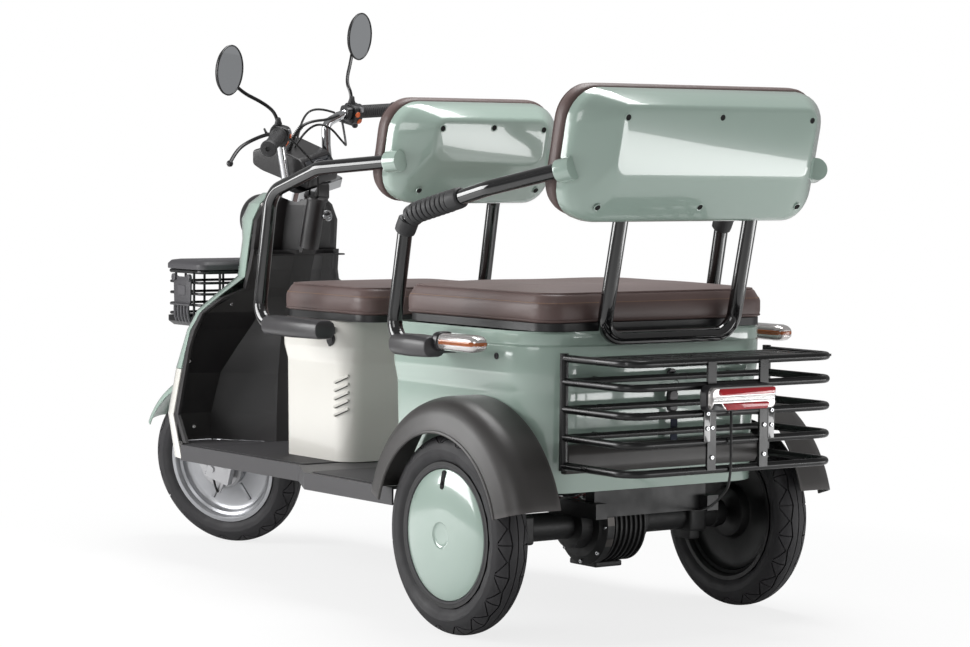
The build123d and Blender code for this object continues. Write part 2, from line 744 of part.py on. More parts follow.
# ================================================================ steering
WHEEL_U = FORK_OFFSET * math.cos(math.radians(RAKE))
WHEEL_W = FRONT_WHEEL_Z / math.cos(math.radians(RAKE)) - FORK_OFFSET * math.sin(math.radians(RAKE))
LEG_U = WHEEL_U - 30.0
LEG_V = 74.0
LEG_D = 34.0
YOKE_W = NECK_LOW - 30.0
YOKE_T = 22.0
COLUMN_TOP = 972.0
FRONT_PIN_D = 18.0
with BuildPart() as fork:
    for v in (-LEG_V, LEG_V):
        with BuildSketch(STEER_PLANE.offset(WHEEL_W + 20)):
            with Locations((LEG_U, v)):
                Circle(LEG_D / 2)
        extrude(amount=YOKE_W + 6 - WHEEL_W - 20)
        with BuildSketch(STEER_PLANE.offset(WHEEL_W - 24)):
            with Locations((LEG_U + 8, v)):
                Rectangle(LEG_D + 34, 20)
        extrude(amount=52)
    with BuildSketch(STEER_PLANE.offset(YOKE_W)):
        with Locations((LEG_U / 2, 0)):
            RectangleRounded(LEG_U + 50, 2 * LEG_V + LEG_D + 12, 20)
    extrude(amount=YOKE_T)
    with BuildSketch(STEER_PLANE.offset(YOKE_W)):
        Circle(STEM_D / 2)
    extrude(amount=COLUMN_TOP - YOKE_W)
    with BuildSketch(STEER_PLANE.offset(NECK_HIGH + 2)):
        Circle(COLUMN_D / 2)
    extrude(amount=COLUMN_TOP - NECK_HIGH - 2)
    with BuildSketch(Plane.XZ.offset(-LEG_V - 14)):
        with Locations((FRONT_WHEEL_X, FRONT_WHEEL_Z)):
            Circle(FRONT_PIN_D / 2)
    extrude(amount=2 * LEG_V + 28)
fork_part = steered(fork.part)
fork_part.label = "fork"
export_step(fork_part, "parts/fork.step")

# handlebar, measured on the steering axis: (forward, left, up)
BAR_D = 22.0
BAR_END = (-24.0, 298.0, 1147.0)
BAR_ELBOW = (34.0, 148.0, 1143.0)
BAR_ROUTE = (
    (8, 96, 980),
    (42, 101, 1060),
    (60, 108, 1112),
    BAR_ELBOW,
    BAR_END,
)
BAR_BENDS = [30, 26, 26]
CLAMP_W = COLUMN_TOP + 1.0
CLAMP_T = 22.0


def bar_side(sign, diameter):
    """One riser and bar arm."""
    return bent_tube([on_axis(u, sign * v, w) for u, v, w in BAR_ROUTE], BAR_BENDS, diameter)


def along_bar(sign, distance, length, shape, route_end=BAR_END, route_start=BAR_ELBOW):
    """Extrude a section along the outer bar, a distance out from the elbow."""
    u0, v0, w0 = route_start
    u1, v1, w1 = route_end
    start = Vector(*on_axis(u0, sign * v0, w0))
    run = (Vector(*on_axis(u1, sign * v1, w1)) - start).normalized()
    with BuildPart() as piece:
        with BuildSketch(Plane(origin=start + run * distance, x_dir=on_axis_dir(0, 0, 1), z_dir=run)):
            add(shape)
            Circle(BAR_D / 2 + FIT, mode=Mode.SUBTRACT)
        extrude(amount=length)
    return piece.part


def on_axis_dir(u, v, w):
    """World direction of a vector in the steering frame."""
    return Vector(*on_axis(u, v, w)) - Vector(*on_axis(0, 0, 0))


with BuildPart() as handlebar:
    with BuildSketch(STEER_PLANE.offset(CLAMP_W)):
        with Locations((4, 0)):
            RectangleRounded(54, 2 * 112, 16)
    extrude(amount=CLAMP_T)
    for sign in SIDES.values():
        add(bar_side(sign, BAR_D))
handlebar_part = steered(handlebar.part)
handlebar_part.label = "handlebar"
export_step(handlebar_part, "parts/handlebar.step")

ARM_LENGTH = math.dist(BAR_ELBOW, BAR_END)
GRIP_LENGTH = 122.0
with BuildSketch() as grip_ring:
    Circle(16.5)
with BuildPart() as grips:
    for sign in SIDES.values():
        add(along_bar(sign, ARM_LENGTH - GRIP_LENGTH, GRIP_LENGTH + 3, grip_ring.sketch))
grips_part = steered(grips.part)
grips_part.label = "handlebar_grips"
export_step(grips_part, "parts/handlebar_grips.step")

with BuildSketch() as switch_shape:
    with Locations((2, 0)):
        RectangleRounded(46, 48, 14)
with BuildPart() as controls:
    for sign in SIDES.values():
        add(along_bar(sign, ARM_LENGTH - GRIP_LENGTH - 27, 26, switch_shape.sketch))
        pivot = on_axis(78, sign * 176, 1122)
        mid = on_axis(100, sign * 205, 1092)
        tip = on_axis(72, sign * 285, 1070)
        add(bent_tube([on_axis(52, sign * 168, 1136), pivot, mid, tip], [8, 18], 9))
controls_part = steered(controls.part)
controls_part.label = "handlebar_controls"
export_step(controls_part, "parts/handlebar_controls.step")

MIRROR = (124.0, 298.0, 1292.0)
with BuildPart() as mirrors:
    for sign in SIDES.values():
        add(bent_tube(
            [
                on_axis(34, sign * 172, 1174),
                on_axis(66, sign * 180, 1200),
                on_axis(MIRROR[0] + 4, sign * (MIRROR[1] - 14), MIRROR[2] - 30),
            ],
            24, 9,
        ))
        with BuildSketch(Plane(origin=on_axis(MIRROR[0] + 12, sign * MIRROR[1], MIRROR[2]),
                               z_dir=on_axis_dir(-1, 0, 0.25))):
            Ellipse(60, 56)
        extrude(amount=13)
mirrors_part = steered(mirrors.part)
mirrors_part.label = "mirrors"
export_step(mirrors_part, "parts/mirrors.step")

DASH_W = CLAMP_W + CLAMP_T + 4.0
with BuildPart() as dash:
    with BuildSketch(STEER_PLANE.offset(DASH_W)):
        with Locations((20, 0)):
            RectangleRounded(176, 136, 24)
    extrude(amount=70)
    fillet(dash.faces().sort_by(Axis.Z)[-1].edges(), 14)
    for sign in SIDES.values():
        add(bar_side(sign, BAR_D + 4), mode=Mode.SUBTRACT)
dash_part = steered(dash.part)
dash_part.label = "dash"
export_step(dash_part, "parts/dash.step")

MUDGUARD_R = TYRE_R + 33.0
MUDGUARD_HALF_W = 52.0
MUDGUARD_FRONT = 22.0      # degrees above level at its front tip
MUDGUARD_REAR = 28.0
with BuildPart() as front_mudguard:
    first = math.radians(MUDGUARD_FRONT)
    guard_plane = Plane(
        origin=(FRONT_WHEEL_X, 0, FRONT_WHEEL_Z),
        x_dir=(math.cos(first), 0, math.sin(first)),
        z_dir=(-math.sin(first), 0, math.cos(first)),
    )
    with BuildSketch(guard_plane):
        with BuildLine():
            Polyline(
                (MUDGUARD_R, 0),
                (MUDGUARD_R - 3, MUDGUARD_HALF_W * 0.6),
                (MUDGUARD_R - 16, MUDGUARD_HALF_W),
                (MUDGUARD_R - 18, MUDGUARD_HALF_W - SKIN),
                (MUDGUARD_R - 3 - SKIN, MUDGUARD_HALF_W * 0.6 - 1),
                (MUDGUARD_R - SKIN, 0),
            )
            mirror(about=Plane.XZ)
        make_face()
    revolve(
        axis=Axis((FRONT_WHEEL_X, 0, FRONT_WHEEL_Z), (0, -1, 0)),
        revolution_arc=180 - MUDGUARD_FRONT - MUDGUARD_REAR,
    )
mudguard_part = steered(front_mudguard.part)
mudguard_part.label = "front_mudguard"
export_step(mudguard_part, "parts/front_mudguard.step")

# ================================================================ wheels
HUB_R = 55.0


def wheel_rim(plane, bore):
    """Rim, disc and hub turned on the wheel axis (local Z)."""
    with BuildPart() as rim:
        with BuildSketch(plane):
            Circle(RIM_R - 0.4)
            Circle(RIM_R - 7, mode=Mode.SUBTRACT)
        extrude(amount=33, both=True)
        for face_sign in (-1, 1):
            with BuildSketch(plane.offset(face_sign * 31)):
                Circle(RIM_R + 6)
                Circle(RIM_R - 7, mode=Mode.SUBTRACT)
            extrude(amount=1.5, both=True)
        with BuildSketch(plane):
            Circle(RIM_R - 6)
            Circle(bore / 2 + 0.05, mode=Mode.SUBTRACT)
        extrude(amount=6, both=True)
        with BuildSketch(plane):
            Circle(HUB_R)
            Circle(bore / 2 + 0.05, mode=Mode.SUBTRACT)
        extrude(amount=30, both=True)
    return rim.part


for side, sign in SIDES.items():
    tyre = wheel_tyre(AXLE_X, sign * WHEEL_Y, TYRE_R)
    tyre.label = f"tyre_rear_{side}"
    export_step(tyre, f"parts/tyre_rear_{side}.step")
    rim = wheel_rim(Plane(origin=(AXLE_X, sign * WHEEL_Y, TYRE_R), z_dir=(0, 1, 0)), PIN_D)
    rim.label = f"rim_rear_{side}"
    export_step(rim, f"parts/rim_rear_{side}.step")
    with BuildPart() as cover:
        with BuildSketch(Plane(origin=(AXLE_X, sign * (WHEEL_Y + 31), TYRE_R), z_dir=(0, sign, 0))):
            Circle(RIM_R - 8)
        extrude(amount=9, taper=35)
    cover.part.label = f"wheel_cover_{side}"
    export_step(cover.part, f"parts/wheel_cover_{side}.step")

front_tyre = steered(wheel_tyre(FRONT_WHEEL_X, 0, FRONT_WHEEL_Z))
front_tyre.label = "tyre_front"
export_step(front_tyre, "parts/tyre_front.step")
front_rim = steered(wheel_rim(
    Plane(origin=(FRONT_WHEEL_X, 0, FRONT_WHEEL_Z), z_dir=(0, 1, 0)), FRONT_PIN_D,
))
front_rim.label = "rim_front"
export_step(front_rim, "parts/rim_front.step")
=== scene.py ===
import json
import math

import bmesh
import bpy
from mathutils import Matrix, Vector
from mathutils.bvhtree import BVHTree


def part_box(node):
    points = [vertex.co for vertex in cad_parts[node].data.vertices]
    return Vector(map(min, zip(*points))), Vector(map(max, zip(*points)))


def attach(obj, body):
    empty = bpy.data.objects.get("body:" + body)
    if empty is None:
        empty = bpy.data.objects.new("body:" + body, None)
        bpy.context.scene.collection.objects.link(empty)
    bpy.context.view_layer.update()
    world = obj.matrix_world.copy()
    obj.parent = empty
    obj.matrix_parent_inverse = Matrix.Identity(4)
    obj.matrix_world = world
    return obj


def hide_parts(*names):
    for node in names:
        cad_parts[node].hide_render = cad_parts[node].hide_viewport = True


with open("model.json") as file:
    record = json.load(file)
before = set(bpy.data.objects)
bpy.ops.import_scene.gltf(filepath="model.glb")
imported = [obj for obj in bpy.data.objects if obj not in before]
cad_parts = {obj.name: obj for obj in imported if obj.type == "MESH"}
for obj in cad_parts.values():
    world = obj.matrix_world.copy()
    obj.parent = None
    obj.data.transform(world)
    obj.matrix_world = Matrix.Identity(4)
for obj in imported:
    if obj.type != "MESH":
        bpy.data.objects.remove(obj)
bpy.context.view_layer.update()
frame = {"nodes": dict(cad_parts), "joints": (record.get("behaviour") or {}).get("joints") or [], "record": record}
nodes = frame["nodes"]
joints = {joint["name"]: joint for joint in frame["joints"]}

MM = 0.001


# ---------------------------------------------------------------- places
def middle(node):
    """Centre of a node's box."""
    low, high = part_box(node)
    return (low + high) / 2


AXLE = middle("tyre_rear_left")
TYRE_R = AXLE.z


def point(x, y, z):
    """A point in millimetres ahead of the rear axle, to the left and above the floor."""
    return Vector((AXLE.x + x * MM, y * MM, z * MM))


def facing(origin, ahead, up=(0, 0, 1)):
    """A place whose local Z looks ahead and whose local Y leans up."""
    z = Vector(ahead).normalized()
    x = Vector(up).cross(z).normalized()
    turn = Matrix((x, z.cross(x), z)).transposed().to_4x4()
    return Matrix.Translation(origin) @ turn


def mirrored(place):
    """The same place on the vehicle's other side, as a reflection."""
    return Matrix.Diagonal((1, -1, 1, 1)) @ place


RAKE = math.radians(22.0)
PARKED = math.radians(27.0)
FORK_FOOT = Vector((AXLE.x + 1.530, 0, 0))
STEERING = (
    Matrix.Translation(FORK_FOOT)
    @ Matrix.Rotation(-RAKE, 4, "Y")
    @ Matrix.Rotation(PARKED, 4, "Z")
)


def steered(u, v, w):
    """A point in millimetres forward, left and up along the steering axis, as parked."""
    return STEERING @ Vector((u * MM, v * MM, w * MM))


def steered_way(u, v, w):
    """A direction in the steering frame, as parked."""
    return STEERING.to_3x3() @ Vector((u, v, w))


LEAN = math.radians(12.9)
BACK_FEET = {"front": point(568, 0, 622), "rear": point(-215, 0, 622)}


def back_place(row):
    """A backrest's frame: local X to the right, Y up the lean, Z to the rear."""
    return facing(BACK_FEET[row], (-math.cos(LEAN), 0, -math.sin(LEAN)))


# ---------------------------------------------------------------- colours and finishes
def srgb(code):
    """Linear RGBA of an sRGB hex colour."""
    parts = [int(code[i:i + 2], 16) / 255 for i in (1, 3, 5)]
    linear = [p / 12.92 if p <= 0.04045 else ((p + 0.055) / 1.055) ** 2.4 for p in parts]
    return (*linear, 1.0)


def add_node(tree, kind, settings=None, links=None):
    """Adds one shader node: settings are its sockets or properties, links feed its sockets."""
    node = tree.nodes.new(f"ShaderNode{kind}")
    for key, value in (settings or {}).items():
        if isinstance(key, int) or key in node.inputs:
            node.inputs[key].default_value = value
        else:
            setattr(node, key, value)
    for key, source in (links or {}).items():
        tree.links.new(source, node.inputs[key])
    return node


def new_finish(name):
    """An empty material with its Principled shader and the piece's own coordinates."""
    made = bpy.data.materials.new(name)
    made.use_nodes = True
    tree = made.node_tree
    shader = tree.nodes["Principled BSDF"]
    place = add_node(tree, "TexCoord").outputs["Object"]
    return made, tree, shader, place


def finish(name, colours, gloss, patch_mm, grain_mm=0.0, grain_depth=0.0, edge=None, **shader_values):
    """A surface whose colour and roughness drift over patch_mm, with a raised grain of grain_mm.

    colours is a pair of hex values and gloss a pair of roughness values, each the two ends of
    the drift. grain_depth is the bump's height in millimetres, and edge the lighter colour that the
    outer corners are painted towards, as a painted highlight.
    """
    made, tree, shader, place = new_finish(name)
    for socket, value in shader_values.items():
        shader.inputs[socket.replace("_", " ")].default_value = value
    drift = add_node(tree, "TexNoise", {"Scale": 1000 / patch_mm, "Detail": 3.0}, {"Vector": place})
    colour = add_node(
        tree, "Mix", {"data_type": "RGBA", 6: srgb(colours[0]), 7: srgb(colours[1])},
        {0: drift.outputs["Fac"]},
    ).outputs[2]
    # painted highlight: convex corners, found by pointiness, are lightened up to halfway towards the edge colour
    if edge:
        corner = add_node(tree, "NewGeometry").outputs["Pointiness"]
        painted_edge_highlight = add_node(
            tree, "MapRange", {"From Min": 0.52, "From Max": 0.58, "To Max": 0.5}, {"Value": corner},
        )
        colour = add_node(
            tree, "Mix", {"data_type": "RGBA", 7: srgb(edge)}, {0: painted_edge_highlight.outputs["Result"], 6: colour},
        ).outputs[2]
    tree.links.new(colour, shader.inputs["Base Color"])
    rough = add_node(
        tree, "MapRange", {"From Min": 0.3, "From Max": 0.7, "To Min": gloss[0], "To Max": gloss[1]},
        {"Value": drift.outputs["Fac"]},
    )
    tree.links.new(rough.outputs["Result"], shader.inputs["Roughness"])
    if grain_mm:
        grain = add_node(tree, "TexNoise", {"Scale": 1000 / grain_mm, "Detail": 2.0}, {"Vector": place})
        bump = add_node(
            tree, "Bump", {"Strength": 1.0, "Distance": grain_depth * MM},
            {"Height": grain.outputs["Fac"]},
        )
        tree.links.new(bump.outputs["Normal"], shader.inputs["Normal"])
    return made


def leather():
    """Seat leathercloth, embossed PVC on a knitted back: pebbled, low sheen, paler where it is worn."""
    made, tree, shader, place = new_finish("leathercloth_brown")
    pebble = add_node(tree, "TexVoronoi", {"feature": "SMOOTH_F1", "Scale": 1000 / 2.2}, {"Vector": place})
    crease = add_node(tree, "TexNoise", {"Scale": 1000 / 9.0, "Detail": 4.0}, {"Vector": place})
    wear = add_node(tree, "TexNoise", {"Scale": 1000 / 160.0, "Detail": 3.0}, {"Vector": place})
    colour = add_node(
        tree, "Mix", {"data_type": "RGBA", 6: srgb("#4f3e3b"), 7: srgb("#5e4b48")},
        {0: wear.outputs["Fac"]},
    )
    tree.links.new(colour.outputs[2], shader.inputs["Base Color"])
    height = add_node(tree, "Math", {"operation": "ADD"},
        {0: pebble.outputs["Distance"], 1: crease.outputs["Fac"]})
    bump = add_node(tree, "Bump", {"Strength": 0.5, "Distance": 0.3 * MM}, {"Height": height.outputs[0]})
    tree.links.new(bump.outputs["Normal"], shader.inputs["Normal"])
    rough = add_node(
        tree, "MapRange", {"From Min": 0.3, "From Max": 0.7, "To Min": 0.40, "To Max": 0.52},
        {"Value": wear.outputs["Fac"]},
    )
    tree.links.new(rough.outputs["Result"], shader.inputs["Roughness"])
    shader.inputs["Sheen Weight"].default_value = 0.06
    shader.inputs["Sheen Roughness"].default_value = 0.5
    return made


def glazing(name, tint, rough, through=0.75):
    """Clear or tinted moulded acrylic with the fine vertical flutes that spread a lamp's light."""
    made, tree, shader, place = new_finish(name)
    flow = add_node(tree, "TexNoise", {"Scale": 1000 / 25.0, "Detail": 2.0}, {"Vector": place})
    colour = add_node(
        tree, "Mix", {"data_type": "RGBA", 6: srgb(tint[0]), 7: srgb(tint[1])}, {0: flow.outputs["Fac"]},
    )
    tree.links.new(colour.outputs[2], shader.inputs["Base Color"])
    flutes = add_node(
        tree, "TexWave", {"wave_type": "BANDS", "bands_direction": "Y", "Scale": 1000 / 40.0},
        {"Vector": place},
    )
    bump = add_node(tree, "Bump", {"Strength": 0.35, "Distance": 0.4 * MM},
        {"Height": flutes.outputs["Fac"]})
    tree.links.new(bump.outputs["Normal"], shader.inputs["Normal"])
    shader.inputs["Roughness"].default_value = rough
    shader.inputs["IOR"].default_value = 1.49
    shader.inputs["Transmission Weight"].default_value = through
    shader.inputs["Coat Weight"].default_value = 0.5
    return made


def ribbed_rubber(name, colour, pitch_mm, depth_mm, bands):
    """Moulded rubber with straight ribs across bands of its own length, as on floor mats."""
    made, tree, shader, place = new_finish(name)
    ribs = add_node(
        tree, "TexWave",
        {"wave_type": "BANDS", "bands_direction": bands, "wave_profile": "SIN",
            "Scale": 1000 / pitch_mm / 3.2},
        {"Vector": place},
    )
    dust = add_node(tree, "TexNoise", {"Scale": 1000 / 60.0, "Detail": 3.0}, {"Vector": place})
    mixed = add_node(
        tree, "Mix", {"data_type": "RGBA", 6: srgb(colour[0]), 7: srgb(colour[1])},
        {0: dust.outputs["Fac"]},
    )
    tree.links.new(mixed.outputs[2], shader.inputs["Base Color"])
    bump = add_node(tree, "Bump", {"Strength": 0.8, "Distance": depth_mm * MM},
        {"Height": ribs.outputs["Fac"]})
    tree.links.new(bump.outputs["Normal"], shader.inputs["Normal"])
    shader.inputs["Roughness"].default_value = 0.6
    return made


# the edge colours given below are painted highlights on the outer corners
FINISHES = {
    # glossy sprayed ABS panels: deep even colour under clear lacquer, sharp reflections
    "green_paint": finish(
        "lacquered_abs_sage", ("#98aba1", "#9db0a6"), (0.16, 0.20), 300, 1.2, 0.008,
        Coat_Weight=1.0, Coat_Roughness=0.03,
    ),
    "white_paint": finish(
        "lacquered_abs_white", ("#d9d7d0", "#dfddd7"), (0.22, 0.28), 300, 1.4, 0.01,
        Coat_Weight=0.8, Coat_Roughness=0.08,
    ),
    # injection moulded polypropylene with a spark-eroded grain: soft highlight, never black
    "dark_plastic": finish(
        "moulded_polypropylene_graphite", ("#343231", "#3a3837"), (0.38, 0.46), 120, 0.9, 0.05,
        edge="#565352",
    ),
    "floor_plastic": finish(
        "moulded_polypropylene_floor", ("#2d2c2e", "#343335"), (0.46, 0.56), 90, 0.9, 0.08,
        edge="#4d4c4e",
    ),
    "black_plastic": finish(
        "moulded_abs_black", ("#121213", "#18181a"), (0.32, 0.42), 80, 0.8, 0.03,
    ),
    "grey_plastic": finish(
        "moulded_polypropylene_grey", ("#38373a", "#414043"), (0.45, 0.55), 90, 1.1, 0.10,
        edge="#5b5a5d",
    ),
    # stove enamelled steel tube: thick wet-looking black with slight orange peel
    "tube_black": finish(
        "stove_enamel_black", ("#050506", "#08080a"), (0.12, 0.18), 60, 5.0, 0.02,
        Coat_Weight=1.0, Coat_Roughness=0.04,
    ),
    "wire_black": finish(
        "dipped_wire_black", ("#09090a", "#0f0f11"), (0.26, 0.36), 40, 2.0, 0.04,
    ),
    "frame_paint": finish(
        "chassis_paint_black", ("#0c0c0d", "#131314"), (0.40, 0.55), 60, 3.0, 0.10,
    ),
    "cable_black": finish(
        "cable_sheath_pvc", ("#0c0c0d", "#131314"), (0.36, 0.44), 30, 1.5, 0.02,
    ),
    "grip_rubber": finish(
        "moulded_grip_rubber", ("#1b1b1c", "#242425"), (0.52, 0.64), 40, 0.7, 0.08,
        edge="#39393b",
    ),
    "tyre_rubber": finish(
        "tyre_rubber_black", ("#1d1c1e", "#272629"), (0.55, 0.70), 45, 1.0, 0.06,
        edge="#3d3b3e",
    ),
    # die-cast and turned metals: aluminium lacquered silver, bright chrome, sandy cast housing
    "rim_alloy": finish(
        "lacquered_cast_aluminium", ("#9c9da0", "#aaabae"), (0.28, 0.36), 60, 0.8, 0.03,
        Metallic=0.7,
    ),
    "fork_paint": finish(
        "silver_fork_enamel", ("#acacae", "#b8b8ba"), (0.28, 0.36), 60, 1.0, 0.02,
        Metallic=0.6,
    ),
    "bar_chrome": finish(
        "chrome_plate", ("#c9cacc", "#d2d3d5"), (0.05, 0.10), 60, Metallic=1.0,
    ),
    "spring_steel": finish(
        "galvanised_steel", ("#77787b", "#8b8c8f"), (0.30, 0.42), 20, 1.5, 0.04, Metallic=0.9,
    ),
    "cast_grey": finish(
        "sand_cast_housing", ("#101011", "#1a1a1b"), (0.45, 0.62), 25, 1.6, 0.25,
    ),
    "cover_grey": finish(
        "lacquered_abs_cover", ("#98aba1", "#9db0a6"), (0.18, 0.24), 200, 1.2, 0.008,
        Coat_Weight=1.0, Coat_Roughness=0.05,
    ),
    "seat_vinyl": leather(),
    "lamp_glass": glazing("acrylic_clear", ("#e6e8e8", "#f0f2f2"), 0.05),
    "amber_lens": glazing("acrylic_amber", ("#a8572c", "#b96a3c"), 0.12, 0.35),
    "red_lens": glazing("acrylic_red", ("#a80f1d", "#c01626"), 0.12, 0.25),
}
# leg shield: the same grained polypropylene coloured black, with a satin face
# its edge colour is a painted highlight on the outer corners
SHIELD_BLACK = finish(
    "moulded_polypropylene_black", ("#171617", "#1d1c1d"), (0.34, 0.42), 120, 0.9, 0.04, edge="#3c3a3b",
)
# tail and turn lamp bodies: satin black ABS, almost smooth
CASE_BLACK = finish("lamp_case_abs", ("#1e1d1f", "#262527"), (0.28, 0.34), 50, 0.6, 0.02)
# pods round the armrest ends: satin grey nylon
# its edge colour is a painted highlight on the outer corners
CAP_GREY = finish(
    "moulded_nylon_pod", ("#2b2a2c", "#343335"), (0.30, 0.38), 70, 0.9, 0.03, edge="#5a585a",
)
# polished stainless screws and bolts
BOLT_STEEL = finish(
    "zinc_plated_screw", ("#a5a6a8", "#c2c3c5"), (0.18, 0.30), 6, 0.5, 0.02, Metallic=1.0,
)
# holes and gaps that no light reaches
DEEP_BLACK = finish("unlit_recess", ("#040404", "#070707"), (0.8, 0.9), 30)
# silvered glass of the mirrors, with the slight grey of its protective coat
SILVERED = finish("silvered_mirror_glass", ("#dfe2e6", "#e4e7ea"), (0.01, 0.02), 80, Metallic=1.0)
# waxed polyester sewing thread, two plies twisted
THREAD = finish("sewing_thread_tan", ("#8a6a4c", "#9c7b5b"), (0.6, 0.75), 3, 0.4, 0.1)
# small translucent push buttons
BUTTON_ORANGE = finish("moulded_button_orange", ("#c9531d", "#de6a26"), (0.3, 0.4), 8, 0.5, 0.02)
BUTTON_GREY = finish("moulded_button_grey", ("#77777a", "#8a8a8d"), (0.35, 0.45), 8, 0.5, 0.02)
# key strap: woven navy polyester webbing
STRAP_NAVY = finish("woven_strap_navy", ("#161c2c", "#1f2639"), (0.75, 0.85), 4, 0.9, 0.2)
# floor mat with its ribs across the vehicle
MAT_RUBBER = ribbed_rubber("ribbed_mat_rubber", ("#2a292b", "#343335"), 9.0, 1.2, "X")
# smoked dash window over the instrument's grey face
WINDOW = finish("smoked_acrylic_window", ("#1a1b1f", "#22242a"), (0.04, 0.08), 40, Coat_Weight=1.0)
# lamp interiors: vacuum-metallised plastic behind clear lacquer, a soft broken silver
LAMP_SILVER = finish(
    "metallised_lamp_plastic", ("#b9b4b2", "#cfcbca"), (0.12, 0.24), 9, 3.0, 0.15, Metallic=0.65,
    Coat_Weight=1.0, Coat_Roughness=0.03,
)
# motor wiring: red silicone sheath
RED_WIRE = finish("silicone_wire_red", ("#7c1714", "#8f1f1a"), (0.4, 0.5), 12, 0.6, 0.02)
# blank foil plates: brushed aluminium in a dark grey
FOIL = finish("anodised_foil_label", ("#4b4846", "#5a5755"), (0.35, 0.5), 12, 0.6, 0.02, Metallic=0.6)

# rack: the same black enamel, but flatter, so its flat straps stay dark
RACK_ENAMEL = finish("stove_enamel_satin", ("#060607", "#0a0a0b"), (0.24, 0.34), 50, 4.0, 0.03)

NODE_FINISH = {"leg_shield": SHIELD_BLACK, "rack": RACK_ENAMEL}
SLOTS = {row["node"]: row["material_slot"] for row in frame["record"]["subparts"]}
for node_name, slot_name in SLOTS.items():
    mesh = nodes[node_name].data
    mesh.materials.clear()
    mesh.materials.append(NODE_FINISH.get(node_name, FINISHES[slot_name]))


# ---------------------------------------------------------------- forms
def block(size, ease, segments=3):
    """A box of size in millimetres about its middle, its edges eased by ease."""
    bm = bmesh.new()
    bmesh.ops.create_cube(bm, size=1.0)
    bmesh.ops.scale(bm, vec=Vector(size) * MM, verts=bm.verts)
    if ease:
        bmesh.ops.bevel(
            bm, geom=bm.edges, offset=ease * MM, affect="EDGES", segments=segments, profile=0.5,
            material=-1,
        )
    return bm


def turned(profile, turns=64):
    """A closed form turned about local Z from (radius, height) points in millimetres."""
    bm = bmesh.new()
    spots = [bm.verts.new((r * MM, 0, h * MM)) for r, h in profile]
    lines = [bm.edges.new(pair) for pair in zip(spots, spots[1:])]
    bmesh.ops.spin(
        bm, geom=spots + lines, cent=(0, 0, 0), axis=(0, 0, 1), angle=math.tau, steps=turns, use_merge=True,
    )
    bmesh.ops.remove_doubles(bm, verts=bm.verts, dist=1e-6)
    bmesh.ops.recalc_face_normals(bm, faces=bm.faces)
    return bm


def drawn(outline, depth, ease, segments=2, rounds=0.0):
    """A flat shape from its outline in millimetres, depth thick along local Z from 0."""
    bm = bmesh.new()
    face = bm.faces.new([bm.verts.new((x * MM, y * MM, 0)) for x, y in outline])
    if rounds:
        bmesh.ops.bevel(
            bm, geom=bm.verts, offset=rounds * MM, affect="VERTICES", segments=5, profile=0.5, material=-1,
        )
        face = bm.faces[:][0]
    made = bmesh.ops.extrude_face_region(bm, geom=[face], use_keep_orig=True)
    raised = [v for v in made["geom"] if isinstance(v, bmesh.types.BMVert)]
    bmesh.ops.translate(bm, vec=(0, 0, depth * MM), verts=raised)
    bmesh.ops.recalc_face_normals(bm, faces=bm.faces)
    if ease:
        rims = [e for e in bm.edges if abs(e.verts[0].co.z - e.verts[1].co.z) < 1e-7]
        bmesh.ops.bevel(
            bm, geom=rims, offset=ease * MM, affect="EDGES", segments=segments, profile=0.5, material=-1,
        )
    return bm


def tube(points, radius, sides=12, closed=False, order=3):
    """A round tube along a smooth curve through the run of points, which are in metres."""
    curve = bpy.data.curves.new("route", "CURVE")
    curve.dimensions = "3D"
    curve.bevel_depth = radius * MM
    curve.bevel_resolution = max(sides // 4 - 1, 0)
    curve.use_fill_caps = not closed
    curve.resolution_u = 6
    spline = curve.splines.new("NURBS")
    spline.points.add(len(points) - 1)
    for spot, co in zip(spline.points, points):
        spot.co = (*co, 1.0)
    spline.use_cyclic_u = closed
    spline.use_endpoint_u = not closed
    spline.order_u = order
    holder = bpy.data.objects.new("route", curve)
    graph = bpy.context.evaluated_depsgraph_get()
    mesh = bpy.data.meshes.new_from_object(holder, depsgraph=graph)
    bm = bmesh.new()
    bm.from_mesh(mesh)
    bpy.data.objects.remove(holder)
    bpy.data.curves.remove(curve)
    bpy.data.meshes.remove(mesh)
    bmesh.ops.remove_doubles(bm, verts=bm.verts, dist=1e-6)
    return bm


def level(bm, x_span, y_span, rear_r, front_r, z, segments=8):
    """Adds one flat level: a rectangle whose low-X and high-X corners have their own radii."""
    before = set(bm.faces)
    spots = bmesh.ops.create_grid(bm, x_segments=1, y_segments=1, size=0.5)["verts"]
    bmesh.ops.scale(bm, vec=(x_span[1] - x_span[0], y_span[1] - y_span[0], 1), verts=spots)
    centre = Vector((sum(x_span) / 2, sum(y_span) / 2, z))
    bmesh.ops.translate(bm, vec=centre, verts=spots)
    for chosen, radius in (
        ([v for v in spots if v.co.x < centre.x], rear_r),
        ([v for v in spots if v.co.x > centre.x], front_r),
    ):
        bmesh.ops.bevel(
            bm, geom=chosen, offset=radius, affect="VERTICES", segments=segments, profile=0.5, material=-1,
        )
    return (set(bm.faces) - before).pop()


def stacked(levels, eased=()):
    """A closed form bridged through its levels; eased gives some levels a bevel, {index: width}.

    Each level is (x_span, y_span, rear_r, front_r, z) in millimetres.
    """
    bm = bmesh.new()
    faces = []
    for x_span, y_span, rear_r, front_r, z in levels:
        faces.append(level(
            bm, [x * MM for x in x_span], [y * MM for y in y_span], rear_r * MM, front_r * MM, z * MM,
        ))
    rings = [list(face.edges) for face in faces]
    for lower, upper in zip(rings, rings[1:]):
        bmesh.ops.bridge_loops(bm, edges=lower + upper)
    bmesh.ops.delete(bm, geom=faces[1:-1], context="FACES_ONLY")
    bmesh.ops.recalc_face_normals(bm, faces=bm.faces)
    for index, width in dict(eased).items():
        bmesh.ops.bevel(
            bm, geom=[e for e in rings[index] if e.is_valid], offset=width * MM, affect="EDGES",
            segments=4, profile=0.5, material=-1,
        )
    return bm


